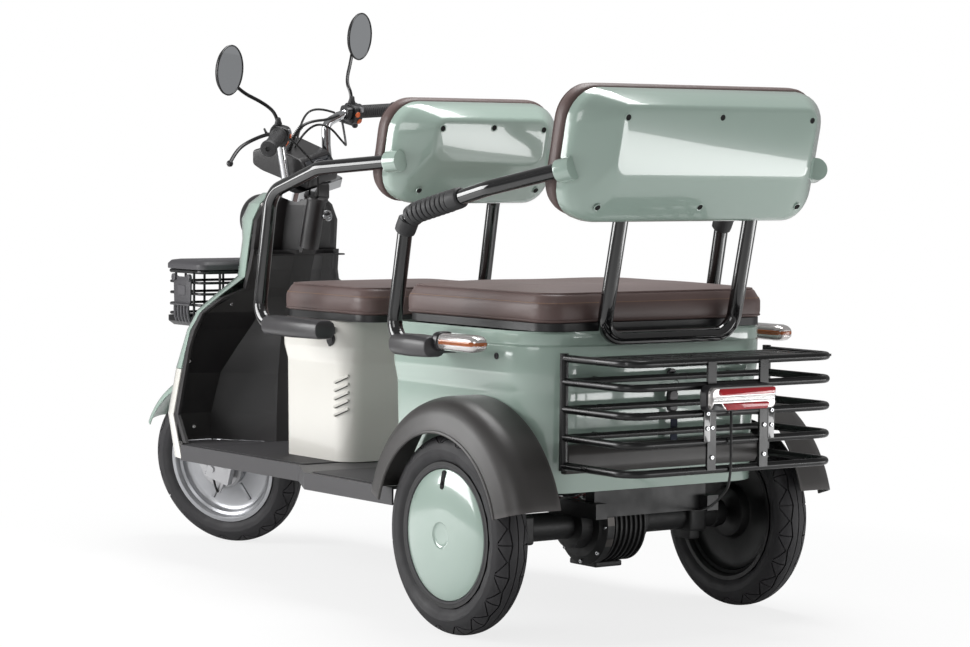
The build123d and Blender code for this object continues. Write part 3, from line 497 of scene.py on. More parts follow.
def bolt_head(radius, height):
    """A round head with a dished socket."""
    return turned([
        (0, height * 0.45), (radius * 0.42, height * 0.45), (radius * 0.48, height), (radius * 0.8, height),
        (radius, height * 0.6), (radius, 0), (0, 0),
    ], 20)


# ---------------------------------------------------------------- making pieces
def object_from(name, bm, smooth_angle=35):
    """A linked object from a bmesh, smooth except where faces meet sharply."""
    mesh = bpy.data.meshes.new(name)
    bm.to_mesh(mesh)
    bm.free()
    mesh.shade_smooth()
    mesh.set_sharp_from_angle(angle=math.radians(smooth_angle))
    made = bpy.data.objects.new(name, mesh)
    bpy.context.scene.collection.objects.link(made)
    return made


def place_piece(piece, body, slot_name, made=None, replaced=()):
    """Gives a finished object its material, found from the slot name unless made is given, and its body, and hides
    the CAD nodes that it stands for.
    """
    if not piece.data.materials:
        piece.data.materials.append(made or FINISHES[slot_name])
    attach(piece, body)
    if replaced:
        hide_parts(*replaced)
    return piece


def joined(forms):
    """One bmesh from (bmesh, place) pairs; a form may be used at several places."""
    whole = bmesh.new()
    for bm, places in forms:
        for place in places if isinstance(places, (list, tuple)) else [places]:
            mesh = bpy.data.meshes.new("form")
            bm.to_mesh(mesh)
            mesh.transform(place)
            if place.to_3x3().determinant() < 0:
                mesh.flip_normals()
            whole.from_mesh(mesh)
            bpy.data.meshes.remove(mesh)
    return whole


def add_piece(name, body, slot_name, forms, made=None, replaced=(), smooth_angle=35):
    """A rigid piece from forms and their places."""
    piece = object_from(name, joined(forms), smooth_angle)
    return place_piece(piece, body, slot_name, made, replaced)


def applied(piece):
    """Applies every modifier of a piece to its mesh."""
    graph = bpy.context.evaluated_depsgraph_get()
    mesh = bpy.data.meshes.new_from_object(piece.evaluated_get(graph), depsgraph=graph)
    piece.modifiers.clear()
    piece.data = mesh
    return piece


HERE = Matrix.Identity(4)
BOTH = (HERE, mirrored(HERE))


# ---------------------------------------------------------------- upholstery
VOXEL = 5.0 * MM


def upholster(name, bm, stitched, rise):
    """A stuffed cover over a closed form: blown up as cloth, held along its seams.

    stitched(co) says whether a point is sewn down, and rise caps how far a point may move.
    """
    bmesh.ops.recalc_face_normals(bm, faces=bm.faces)
    pad = object_from(name, bm)
    remesh = pad.modifiers.new("even_cloth", "REMESH")
    remesh.mode = "VOXEL"
    remesh.voxel_size = VOXEL
    remesh.use_smooth_shade = True
    applied(pad)
    rest = [v.co.copy() for v in pad.data.vertices]
    seams = pad.vertex_groups.new(name="seams")
    seams.add([i for i, co in enumerate(rest) if stitched(co)], 1.0, "REPLACE")
    cloth = pad.modifiers.new("stuffing", "CLOTH")
    cloth.settings.quality = 6
    cloth.settings.tension_stiffness = 18
    cloth.settings.compression_stiffness = 18
    cloth.settings.bending_stiffness = 2.0
    cloth.settings.use_pressure = True
    cloth.settings.uniform_pressure_force = 4.0
    cloth.settings.vertex_group_mass = "seams"
    cloth.settings.effector_weights.gravity = 0.0
    for number in range(1, 21):
        bpy.context.scene.frame_set(number)
    graph = bpy.context.evaluated_depsgraph_get()
    moved = [v.co.copy() for v in pad.evaluated_get(graph).data.vertices]
    pad.modifiers.clear()
    bpy.context.scene.frame_set(1)
    for vertex, before, after in zip(pad.data.vertices, rest, moved):
        step = after - before
        if step.length > rise:
            step *= rise / step.length
        vertex.co = before + step
    bm = bmesh.new()
    bm.from_mesh(pad.data)
    bmesh.ops.smooth_vert(
        bm, verts=bm.verts, factor=0.5, use_axis_x=True, use_axis_y=True, use_axis_z=True,
    )
    bm.to_mesh(pad.data)
    bm.free()
    pad.data.shade_smooth()
    return pad


def round_line(x_span, y_span, rear_r, front_r, z):
    """The closed line of points of one level's outline, in metres."""
    bm = bmesh.new()
    face = level(bm, [x * MM for x in x_span], [y * MM for y in y_span], rear_r * MM, front_r * MM, z * MM)
    line = [v.co.copy() for v in face.verts]
    bm.free()
    return line


def spread(line, gap):
    """Points a gap apart round a closed line, with the way that the line runs at each."""
    found = []
    left_over = 0.0
    for here, there in zip(line, line[1:] + line[:1]):
        run = there - here
        along = left_over
        while along < run.length:
            found.append((here + run.normalized() * along, run.normalized()))
            along += gap
        left_over = along - run.length
    return found


def sewn(pad, name, body, line, place, piping=0.0):
    """Piping, or a row of stitches, that lies on a pad's surface along a closed line."""
    skin = BVHTree.FromPolygons(
        [v.co for v in pad.data.vertices], [p.vertices for p in pad.data.polygons],
    )
    if piping:
        on_skin = []
        for spot, way in spread(line, 12 * MM):
            near, normal = skin.find_nearest(spot)[:2]
            on_skin.append(near + normal * piping * 0.35 * MM)
        return add_piece(name, body, "seat_vinyl", [(tube(on_skin, piping, 8, closed=True), place)])
    stitch = turned([(0, -2.1), (0.5, -1.7), (0.65, 0), (0.5, 1.7), (0, 2.1)], 6)
    spots = []
    for spot, way in spread(line, 6.5 * MM):
        near, normal = skin.find_nearest(spot)[:2]
        spots.append(place @ facing(near + normal * 0.2 * MM, way, normal))
    return add_piece(name, body, "seat_vinyl", [(stitch, spots)], made=THREAD)


def seat_cushion(node, body):
    """A seat pad: upright side panels, a sloping sewn band, and a crowned top panel."""
    low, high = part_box(node)
    x0, x1, half = low.x / MM + 3, high.x / MM - 3, high.y / MM - 3
    z0, z1 = low.z / MM, high.z / MM
    corners = (50, 44)

    def outline(inset, z):
        return ((x0 + inset, x1 - inset), (-half + inset, half - inset), corners[0], corners[1], z)

    bm = stacked([
        outline(2, z0), outline(-1, z0 + 10), outline(-1, z0 + 38), outline(2, z0 + 42), outline(9, z1 - 9),
        outline(18, z1 - 5), outline(70, z1 - 3),
    ])
    seam_z, edge_z = (z0 + 42) * MM, (z1 - 8) * MM

    def stitched(co):
        side = min(x1 * MM - co.x, co.x - x0 * MM, half * MM - abs(co.y))
        low_rim = co.z < (z0 + 4) * MM
        return low_rim or (side < 12 * MM and abs(co.z - seam_z) < 2.6 * MM) or (
            6 * MM < side < 15 * MM and abs(co.z - edge_z) < 3 * MM
        )

    pad = upholster(f"{node}_cover", bm, stitched, 7 * MM)
    place_piece(pad, body, "seat_vinyl", replaced=(node,))
    sewn(pad, f"{node}_stitches", body, round_line(*outline(1, z0 + 42)), HERE)
    sewn(pad, f"{node}_edge_piping", body, round_line(*outline(12, z1 - 7)), HERE, piping=2.0)
    sewn(pad, f"{node}_base_piping", body, round_line(*outline(0, z0 + 5)), HERE, piping=2.2)
    return pad


seat_cushion("rear_seat_cushion", "rear_seat")
seat_cushion("driver_seat_cushion", "driver_seat")


# ---------------------------------------------------------------- backrests
BACK_SIZES = {
    # shell half width, low, high; pad half width, low, high; arm's start and its next point
    "front": (228, 270, 499, 232, 266, 503, point(478, 237, 978), point(660, 302, 962)),
    "rear": (332, 247, 519, 336, 250, 523, point(-285, 341, 966), point(-130, 401, 929)),
}
BODIES = frame["record"]["behaviour"]["bodies"] if "behaviour" in frame["record"] else {}


def body_of(node):
    """Name of the body that carries a node."""
    for name, row in BODIES.items():
        if node in (row.get("nodes", ()) if isinstance(row, dict) else row):
            return name
    return "chassis"


def backrest(row):
    """One backrest: its moulded shell with collars and screw wells, and its padded front."""
    half, low, high, pad_half, pad_low, pad_high, arm, onward = BACK_SIZES[row]
    place = back_place(row)
    body = body_of(f"{row}_backrest_shell")

    def shell_level(depth, inset, up, down, corner):
        return ((-half + inset, half - inset), (low + up, high - down), corner, corner, depth)

    shell = stacked([
        shell_level(-25, 1.5, 1.5, 1.5, 71), shell_level(-23, 0, 0, 0, 72), shell_level(0, 4, 0, 1, 70),
        shell_level(22, 26, 4, 5, 62), shell_level(62, 74, 104, 19, 30),
    ], {2: 9, 3: 13, 4: 9})
    run = (onward - arm).normalized()
    collar = turned([(0, -8), (24, -8), (24.5, 22), (23.5, 27), (20.5, 29), (16.3, 28), (16.3, 2), (0, 2)],
        40)
    collar_place = facing(arm - run * 18 * MM - Vector((0, 7 * MM, 0)), run)
    well_rim = turned([(6.3, -1), (6.3, 0.2), (7.4, 0.7), (8.6, 0.3), (8.8, -1)], 28)
    well_floor = turned([(0, 0.25), (6.4, 0.25), (6.4, -1), (0, -1)], 24)
    spots = []
    for x, y, depth in (
        (0, high - 40, 62), (-half + 88, high - 43, 62), (half - 88, high - 43, 62),
    ):
        spots.append(place @ Matrix.Translation(Vector((x, y, depth + 0.1)) * MM))
    slope = math.atan2(40, 100)
    for x in (0, -half + 66, half - 66):
        on_slope = Vector((x, low + 38, 22 + 40 * (38 - 4) / 100)) * MM
        spots.append(place @ Matrix.Translation(on_slope) @ Matrix.Rotation(slope, 4, "X"))
    add_piece(
        f"{row}_backrest_moulding", body, "green_paint",
        [(shell, place), (collar, (collar_place, mirrored(collar_place))), (well_rim, spots)],
        replaced=(f"{row}_backrest_shell",),
    )
    add_piece(f"{row}_backrest_screw_wells", body, "green_paint", [(well_floor, spots)], made=DEEP_BLACK)

    def pad_level(depth, inset, corner):
        return (
            (-pad_half + inset, pad_half - inset), (pad_low + inset, pad_high - inset), corner, corner,
            -depth,
        )

    bm = stacked([
        pad_level(26, 4, 70), pad_level(34, 0, 72), pad_level(54, 1, 72), pad_level(64, 9, 66),
        pad_level(67, 26, 56), pad_level(70, 70, 40),
    ])

    def stitched(co):
        if co.z > -30 * MM:
            return True
        across = min(pad_half * MM - abs(co.x), co.y - pad_low * MM, pad_high * MM - co.y)
        panel = abs(across - 44 * MM) < 3 * MM
        channel = across > 44 * MM and abs(abs(co.x) - pad_half * 0.36 * MM) < 3 * MM
        return co.z < -60 * MM and (panel or channel)

    pad = upholster(f"{row}_backrest_cover", bm, stitched, 9 * MM)
    line = round_line(*pad_level(61, 5, 70))
    panel_line = round_line(*pad_level(68, 44, 44))
    pad_skin = sewn(pad, f"{row}_backrest_piping", body, line, place, piping=2.2)
    sewn(pad, f"{row}_backrest_stitches", body, panel_line, place)
    pad.data.transform(place)
    place_piece(pad, body, "seat_vinyl", replaced=(f"{row}_backrest_pad",))
    return pad_skin


backrest("rear")
backrest("front")

# ---------------------------------------------------------------- body tub and seat box
CHASSIS = Matrix.Translation((AXLE.x, 0, 0))


def tub(rows, x_span, half, rear_r, front_r, eased):
    """A tub from rows of (height, inset), outer wall first and then down the inner wall."""
    return stacked([
        ((x_span[0] + i, x_span[1] - i), (-half + i, half - i), max(rear_r - i, 4), max(front_r - i, 4), z)
        for z, i in rows
    ], eased)


body_shell = tub(
    (
        (302, 22), (303, 14), (510, 9), (546, 1.5), (605, 0), (605, 2.5), (608.5, 2.5), (608.5, 0),
        (631, 0), (636, 4), (636, 9), (312, 22),
    ),
    (-196, 335), 328, 115, 25, {1: 0.8, 2: 5, 3: 5, 4: 0.8, 7: 0.8},
)
add_piece("rear_body_panels", "chassis", "green_paint", [(body_shell, CHASSIS)], replaced=("rear_body",))

BOX = ((690, 966), 212)
box_shell = tub(
    ((283, 16), (284, 12), (512, 9), (546, 0), (608, 0), (611.5, 3), (611.5, 6), (290, 18)),
    BOX[0], BOX[1], 62, 24, {1: 0.8, 2: 5, 3: 5},
)
add_piece("seat_box_panels", "chassis", "white_paint", [(box_shell, CHASSIS)], replaced=("seat_box",))

# louvres: a hooded slot each, on both rear flanks of the seat box
hood = stacked([
    ((-22, 22), (-3.4, 3.4), 3, 3, -3), ((-22, 22), (-3.4, 3.4), 3, 3, 0.8),
    ((-20, 20), (-1.8, 1.8), 1.5, 1.5, 2.4),
], {1: 0.8})
slot = block((38, 3.2, 2), 0.8, 2)
hoods, slots = [], []
for i in range(5):
    z = 400 + 19 * i
    flank = facing(point(690 + 36, 212 - 15.2, z), (-0.52, 1, 0)) @ Matrix.Rotation(math.radians(24), 4,
        "Z")
    hoods += [flank, mirrored(flank)]
    shaded = flank @ Matrix.Translation((0, -2.9 * MM, 0.4 * MM))
    slots += [shaded, mirrored(shaded)]
add_piece("seat_box_louvre_hoods", "chassis", "white_paint", [(hood, hoods)])
add_piece("seat_box_louvre_slots", "chassis", "white_paint", [(slot, slots)], made=DEEP_BLACK)

# charging port: round bezel with a hinged rubber flap
port = facing(point(690 + 58, 212, 612 - 44), (0, 1, 0))
bezel = turned([(0, -2), (15.5, -2), (15.5, 1.6), (14, 2.4), (12.4, 1.4), (12, 0.2), (0, 0.2)], 40)
flap = stacked([((-11, 11), (-11.5, 10), 9, 9, 0.2), ((-11, 11), (-11.5, 10), 9, 9, 3.2)], {1: 1.0})
tab = block((9, 7, 2.2), 0.8)
add_piece(
    "charging_port", "chassis", "white_paint",
    [(bezel, port), (flap, port), (tab, port @ Matrix.Translation((0, -13.5 * MM, 2.4 * MM)))],
    made=CASE_BLACK,
)

# body lock plug below the left turn lamp, and the bench lock at the rear
plug = turned([(0, -2), (7, -2), (7, 1.5), (6, 2.6), (3.4, 2.6), (3.2, 1.6), (0, 1.6)], 28)
add_piece("body_plug", "chassis", "green_paint", [(plug, facing(point(-60, 327.5, 582), (0, 1, 0)))],
    made=CASE_BLACK)

# ---------------------------------------------------------------- fenders
FENDER_IN, FENDER_OUT, FENDER_TOP = 322.0, 440.0, TYRE_R / MM + 77
FENDER_LIP = TYRE_R / MM + 3


def arc_cover(section, thick, first, last, steps=60):
    """A guard swept about the local Z axis from degrees first to last, thick millimetres inward.

    section is (radius, along Z) in millimetres, smoothed into one line.
    """
    bm = tube([Vector((r, h, 0)) * MM for r, h in section], 0, 4)
    bmesh.ops.rotate(bm, matrix=Matrix.Rotation(math.pi / 2, 3, "X"), verts=bm.verts)
    bmesh.ops.rotate(bm, matrix=Matrix.Rotation(math.radians(first), 3, "Z"), verts=bm.verts)
    bmesh.ops.spin(
        bm, geom=bm.verts[:] + bm.edges[:], cent=(0, 0, 0), axis=(0, 0, 1),
        angle=math.radians(last - first), steps=steps, use_merge=False,
    )
    bmesh.ops.remove_doubles(bm, verts=bm.verts, dist=1e-6)
    bmesh.ops.recalc_face_normals(bm, faces=bm.faces)
    outward = sum(f.normal.dot(Vector((*f.calc_center_median().xy, 0))) for f in bm.faces)
    if outward < 0:
        bmesh.ops.reverse_faces(bm, faces=bm.faces)
    bmesh.ops.solidify(bm, geom=bm.faces, thickness=thick * MM)
    return bm


def fender_form():
    """A rear guard about its wheel's axis, with a rolled lip along the arch."""
    top, out, lip = FENDER_TOP, FENDER_OUT - AXLE.y / MM, FENDER_LIP
    inner = FENDER_IN - AXLE.y / MM
    cover = arc_cover([
        (top, inner), (top, inner + 20), (top, out - 66), (top - 1, out - 48), (top - 10, out - 24),
        (top - 30, out - 9), (top - 46, out - 5), (lip + 9, out - 0.5), (lip, out),
    ], 3, 15, 165)
    bead = []
    for i in range(41):
        angle = math.radians(15 + 150 * i / 40)
        bead.append(Vector((math.cos(angle) * (lip + 2), math.sin(angle) * (lip + 2), out - 1)) * MM)
    return [cover, tube(bead, 3.6, 12)]


for side, sign in (("left", 1), ("right", -1)):
    wheel = facing(Vector((AXLE.x, AXLE.y, AXLE.z)), (0, 1, 0), (0, 0, 1))
    # local X runs to the rear here, local Y up, local Z to the left
    place = wheel if sign > 0 else mirrored(wheel)
    add_piece(
        f"fender_{side}_moulding", "chassis", "dark_plastic", [(bm, place) for bm in fender_form()],
        replaced=(f"fender_{side}",),
    )


# ---------------------------------------------------------------- tyres
TREAD_COUNT = 19
PITCH = math.tau * TYRE_R / MM / TREAD_COUNT
# half section of the tyre from the crown to the bead: (across, radius)
TYRE_SECTION = (
    (0, 210), (8, 209.8), (17, 207.8), (26, 203.8), (34, 196.5), (39, 187.5), (41.2, 177), (39.5, 166),
    (34, 157.5), (28.5, 152.5), (26, 146.4),
)


def measured(section, steps=8):
    """The section as a smooth line, with the length run so far at each point."""
    bm = tube([Vector((a, r, 0)) for a, r in section], 0, 4)
    line = sorted((v.co.copy() for v in bm.verts), key=lambda co: -co.y)
    bm.free()
    found, run = [], 0.0
    for before, here in zip([line[0]] + line, line):
        run += (here - before).length
        found.append((run, here))
    return found


def on_section(line, run):
    """Point and outward normal of a measured line at a length along it."""
    for (a, before), (b, after) in zip(line, line[1:]):
        if run <= b or after is line[-1][1]:
            share = (run - a) / max(b - a, 1e-9)
            way = (after - before).normalized()
            return before.lerp(after, share), Vector((-way.y, way.x, 0))


def tread_quarter():
    """A quarter of one tread pitch laid flat: X from the crown line out, Y half a pitch."""
    length, half_pitch = 94.0, PITCH / 2
    bm = bmesh.new()
    bmesh.ops.create_grid(bm, x_segments=26, y_segments=3, size=0.5)
    bmesh.ops.scale(bm, vec=(length, half_pitch, 1), verts=bm.verts)
    bmesh.ops.translate(bm, vec=(length / 2, half_pitch / 2, 0), verts=bm.verts)
    slant = Vector((half_pitch, -6, 0)).normalized()
    lean = Vector((24, 17, 0)).normalized()
    cuts = [
        (Vector((1.3, 0, 0)), Vector((1, 0, 0))), (Vector((12, 0, 0)), slant),
        (Vector((15.5, 0, 0)), slant),
        (Vector((0, 1.6, 0)), Vector((0, 1, 0))), (Vector((22, half_pitch, 0)), lean),
        (Vector((25.5, half_pitch, 0)), lean), (Vector((45, 0, 0)), Vector((1, 0, 0))),
    ]
    for spot, normal in cuts:
        bmesh.ops.bisect_plane(
            bm, geom=bm.verts[:] + bm.edges[:] + bm.faces[:], plane_co=spot, plane_no=normal, dist=1e-4,
        )

    def side(co, index):
        return (co - cuts[index][0]).dot(cuts[index][1])

    def grooved(co):
        beyond = side(co, 2) > 0 and side(co, 6) < 0
        return (
            side(co, 0) < 0 or (side(co, 1) > 0 > side(co, 2)) or (beyond and side(co, 3) < 0)
            or (beyond and side(co, 4) > 0 > side(co, 5) and co.x < 45)
        )

    sunk = [f for f in bm.faces if grooved(f.calc_center_median())]
    made = bmesh.ops.extrude_face_region(bm, geom=sunk)
    floor = [v for v in made["geom"] if isinstance(v, bmesh.types.BMVert)]
    bmesh.ops.translate(bm, vec=(0, 0, -4.2), verts=floor)
    bmesh.ops.delete(bm, geom=[f for f in sunk if f.is_valid], context="FACES")
    outer_walls = [
        f for f in bm.faces
        if all(abs(v.co.y) < 1e-4 for v in f.verts) or all(abs(v.co.y - half_pitch) < 1e-4 for v in f.verts)
        or all(abs(v.co.x) < 1e-4 for v in f.verts)
    ]
    bmesh.ops.delete(bm, geom=outer_walls, context="FACES_ONLY")
    return bm


def tyre_form():
    """A tyre about local Z: the tread quarter mirrored, repeated round and bent to the section."""
    bm = tread_quarter()
    for axis, spot in (("X", (0, 0, 0)), ("Y", (0, PITCH / 2, 0))):
        bmesh.ops.mirror(
            bm, geom=bm.verts[:] + bm.edges[:] + bm.faces[:], matrix=Matrix.Translation(spot),
            merge_dist=1e-3, axis=axis,
        )
    bmesh.ops.recalc_face_normals(bm, faces=bm.faces)
    line = measured(TYRE_SECTION)
    for vertex in bm.verts:
        run, lap, lift = abs(vertex.co.x), vertex.co.y, vertex.co.z
        rib = 0.8 if 56 < run < 58.5 or 80 < run < 84 else 0.0
        co, normal = on_section(line, min(run, line[-1][0]))
        co = co + normal * (lift + rib)
        angle = lap / PITCH * math.tau / TREAD_COUNT
        across = math.copysign(co.x, vertex.co.x)
        vertex.co = Vector((co.y * math.cos(angle), co.y * math.sin(angle), across)) * MM
    bmesh.ops.spin(
        bm, geom=bm.verts[:] + bm.edges[:] + bm.faces[:], cent=(0, 0, 0), axis=(0, 0, 1),
        angle=math.tau * (TREAD_COUNT - 1) / TREAD_COUNT, steps=TREAD_COUNT - 1, use_duplicate=True,
    )
    bmesh.ops.remove_doubles(bm, verts=bm.verts, dist=2e-5)
    bmesh.ops.recalc_face_normals(bm, faces=bm.faces)
    return bm


FRONT_HUB = middle("rim_front")
FRONT_AXIS = Vector(joints["front_wheel_spin"]["axis"])
WHEELS = {
    "front": (facing(FRONT_HUB, FRONT_AXIS), "front_wheel", "tyre_front"),
    "rear_left": (facing(AXLE, (0, 1, 0)), "rear_wheel_left", "tyre_rear_left"),
    "rear_right": (
        facing(Vector((AXLE.x, -AXLE.y, AXLE.z)), (0, -1, 0)), "rear_wheel_right", "tyre_rear_right",
    ),
}
tyre_mesh = tyre_form()
for name, (place, body, node) in WHEELS.items():
    add_piece(f"tyre_{name}_tread", body, "tyre_rubber", [(tyre_mesh, place)], replaced=(node,),
        smooth_angle=30)
tyre_mesh.free()

# ---------------------------------------------------------------- rims, covers and brake
RIM_PROFILE = [
    (10, 30), (48, 30), (54, 27), (57, 20), (60, 10), (66, 6.5), (114, 5), (124, 7.5), (128, 11), (131, 20),
    (137, 24), (139, 31), (143, 34.5), (152, 34.8), (152, 31.5), (147, 30), (145.4, 28),
]
CLOSED_RIM = RIM_PROFILE + [(r, -h) for r, h in reversed(RIM_PROFILE)] + RIM_PROFILE[:1]
rib = block((50, 9, 5), 2)
ribs = [
    Matrix.Rotation(math.tau * i / 6, 4, "Z") @ Matrix.Translation(Vector((88, 0,
        6.5)) * MM) for i in range(6)
]
hub_bolts = [Matrix.Rotation(math.tau * i / 6 + 0.3, 4, "Z") @ Matrix.Translation(Vector((40, 0, 30)) * MM)
             for i in range(6)]
front_place = WHEELS["front"][0]
valve = turned([(0, -3), (3.2, -3), (3.2, 10), (2.4, 11), (2.4, 24), (3, 24.5), (3, 31), (0, 31.5)], 16)
valve_spot = Matrix.Rotation(math.radians(100), 4, "Z") @ facing(Vector((0.140, 0, 0.012)), (-1, 0, 0.35))
add_piece(
    "rim_front_cast", "front_wheel", "rim_alloy",
    [(turned(CLOSED_RIM, 96), front_place), (rib, [front_place @ spot for spot in ribs])],
    replaced=("rim_front",),
)
add_piece("rim_front_bolts", "front_wheel", "rim_alloy",
          [(bolt_head(5.5, 4), [front_place @ spot for spot in hub_bolts])], made=BOLT_STEEL)
add_piece("rim_front_valve", "front_wheel", "tyre_rubber", [(valve, front_place @ valve_spot)])

cover = turned([
    (0, 11), (18, 11), (24, 11.6), (26, 12.6), (28, 14.3), (45, 14.3), (60, 13.9), (80, 12.6), (100, 10.6),
    (118, 7.8), (130, 4.8), (136, 1.8), (137, -1), (0, -1),
], 128)
gap_ring = turned([(137.4, -2), (146, -2), (146.5, 1), (143, 3.2), (139, 2.6), (137.4, 0.5), (137.4, -2)],
    128)
valve_slot = stacked([((-6.5, 6.5), (-20, 20), 6, 6, -1), ((-6.5, 6.5), (-20, 20), 6, 6, 1.2)], {1: 0.5})
slot_spot = Matrix.Translation(Vector((0, 115, 8.3)) * MM) @ Matrix.Rotation(math.radians(-9), 4, "X")
for side in ("left", "right"):
    wheel, body, _ = WHEELS[f"rear_{side}"]
    rim_slot = "rim_alloy"
    add_piece(f"rim_rear_{side}_steel", body, rim_slot, [(turned(CLOSED_RIM, 96), wheel)],
              made=FINISHES["frame_paint"], replaced=(f"rim_rear_{side}",))
    face = wheel @ Matrix.Translation((0, 0, 32 * MM))
    add_piece(f"wheel_cover_{side}_dome", body, "cover_grey", [(cover, face)],
              replaced=(f"wheel_cover_{side}",))
    add_piece(f"wheel_cover_{side}_seal", body, "tyre_rubber", [(gap_ring, face)])
    add_piece(f"wheel_cover_{side}_valve_slot", body, "cover_grey",
              [(valve_slot, face @ slot_spot)], made=DEEP_BLACK)
    add_piece(f"wheel_{side}_valve", body, "tyre_rubber",
              [(valve, face @ facing(Vector((0, 0.124, 0.003)), (0, -0.85, 0.5)) @ Matrix.Scale(0.7, 4))])

# front drum brake: back plate, arm, pin and its cable end, held by the fork
plate = turned([(9, 0), (58, 0), (60, -3), (60, -7), (63, -8), (63, 0.5), (58, 6), (40, 9), (18, 9),
    (14, 12), (9, 12),
                (9, 0)], 72)
drum = front_place @ Matrix.Translation((0, 0, 38 * MM))
arm = drawn([(-7, -6), (7, -6), (5, 44), (0, 50), (-5, 44)], 5, 1.2, rounds=2)
arm_spot = drum @ Matrix.Translation(Vector((18, -30, 14)) * MM) @ Matrix.Rotation(math.radians(150), 4,
    "Z")
stay = drawn([(-9, -9), (9, -9), (16, 40), (26, 62), (8, 66), (-4, 44)], 4, 1.0, rounds=3)
stay_spot = drum @ Matrix.Translation(Vector((-34, -22, 10)) * MM) @ Matrix.Rotation(math.radians(38), 4,
    "Z")
nut = turned([(0, 0), (8, 0), (8, 5), (6.5, 7), (4, 7), (4, 12), (0, 12.5)], 6)
add_piece("front_brake_plate", "steering", "fork_paint", [
    (plate, drum), (arm, arm_spot), (stay, stay_spot), (nut, [
        drum @ Matrix.Translation((0, 0, 12 * MM)), arm_spot @ Matrix.Translation((0, 0, 4 * MM)),
        stay_spot @ Matrix.Translation(Vector((0, 0, 4)) * MM),
        stay_spot @ Matrix.Translation(Vector((14, 54, 4)) * MM),
    ]),
])
cable_end = arm_spot @ Vector((0, 44 * MM, 6 * MM))
fork_crown = steered(30, 92, 500)
add_piece("front_brake_cable", "steering", "black_plastic", [(tube([
    cable_end, cable_end + Vector((0.004, 0.012, 0.02)), steered(70, 108, 300), steered(58, 104, 400),
    fork_crown,
    steered(34, 60, 545),
], 2.8, 12), HERE)], made=FINISHES["cable_black"])

# ---------------------------------------------------------------- armrest pods and turn lamps
def pod(x0, x1):
    """Rounded pod along local Z from x0 to x1 millimetres ahead of the rear axle."""
    def ring(inset, z, corner):
        return ((-29 + inset, 29 - inset), (-23 + inset, 23 - inset), corner, corner, z)
    length = x1 - x0
    return stacked([
        ring(7, 0, 14), ring(3, 2, 16), ring(1.5, 7, 17), ring(0, length * 0.5, 17),
        ring(1, length - 8, 17),
        ring(3, length - 2, 16), ring(7, length, 14),
    ])


def across(x, y, z):
    """A place at a point whose local Z looks ahead and local X to the left."""
    return facing(point(x, y, z), (1, 0, 0))


PODS = ((612, 846, 314, 213), (18, 152, 428, 329))
forms = []
for x0, x1, y, inner in PODS:
    spot = across(x0, y, 599)
    forms.append((pod(x0, x1), (spot, mirrored(spot))))
    bridge_spot = Matrix.Translation(point((x0 + x1) / 2 + 20, (inner + y) / 2, 589))
    forms.append((block((50, y - inner, 18), 3), (bridge_spot, mirrored(bridge_spot))))
add_piece("armrest_pods", "chassis", "black_plastic", forms, made=CAP_GREY, replaced=("corner_caps",))

lamp_spot = facing(point(17, 412, 611), (-1, 0, 0))


def lamp_ring(inset, z, corner=15):
    """One level of a turn lamp's outline."""
    return ((-22 + inset, 22 - inset), (-18 + inset, 18 - inset), corner - inset, corner - inset, z)


bezel = stacked([lamp_ring(-1.5, -4), lamp_ring(-2.5, 2), lamp_ring(-2, 14), lamp_ring(0, 15)],
    {1: 1, 2: 1})
body_form = stacked([
    lamp_ring(1, 14), lamp_ring(0, 18), lamp_ring(0, 118), lamp_ring(2, 130), lamp_ring(6, 138),
    lamp_ring(11, 141.5),
])
strip = stacked([
    ((-22.6, 22.6), (-5.5, 6.5), 3, 3, 20), ((-22.6, 22.6), (-5.5, 6.5), 3, 3, 118),
    ((-20.5, 20.5), (-5, 6), 3, 3, 131), ((-15, 15), (-4, 5), 3, 3, 139.6),
    ((-10, 10), (-3, 4), 2.5, 2.5, 142.6),
])
mirror_pair = (lamp_spot, mirrored(lamp_spot))
add_piece("turn_lamp_bezels", "chassis", "amber_lens", [(bezel, mirror_pair)], made=CASE_BLACK)
add_piece("turn_lamp_housings", "chassis", "amber_lens", [(body_form, mirror_pair)],
          made=LAMP_SILVER, replaced=("turn_lamps",))
add_piece("turn_lamp_strips", "chassis", "amber_lens", [(strip, mirror_pair)])

# ---------------------------------------------------------------- armrest tubes and their grips
ARM_RADIUS = 16
ARM_BENDS = (90, 62, 46)
GRIP_RIB_PITCH = 14.6


def bent_line(points, bends, turns=9):
    """Straight runs through the points, joined by arcs of the bend radii in millimetres."""
    line = [points[0]]
    for before, corner, after, radius in zip(points, points[1:], points[2:], bends):
        back, on = (before - corner).normalized(), (after - corner).normalized()
        half = back.angle(on) / 2
        centre = corner + (back + on).normalized() * radius * MM / math.sin(half)
        reach = radius * MM / math.tan(half)
        start, end = corner + back * reach - centre, corner + on * reach - centre
        line += [centre + start.slerp(end, i / turns).normalized() * radius * MM for i in range(turns + 1)]
    return line + [points[-1]]


def open_spread(line, first, last, gap):
    """Places every gap millimetres between two lengths along an open line, facing along it."""
    found, run, target = [], 0.0, first * MM
    for here, there in zip(line, line[1:]):
        length = (there - here).length
        while run <= target < run + length and target <= last * MM:
            found.append(facing(here.lerp(there, (target - run) / length), there - here, (0, 1, 0.1)))
            target += gap * MM
        run += length
    return found


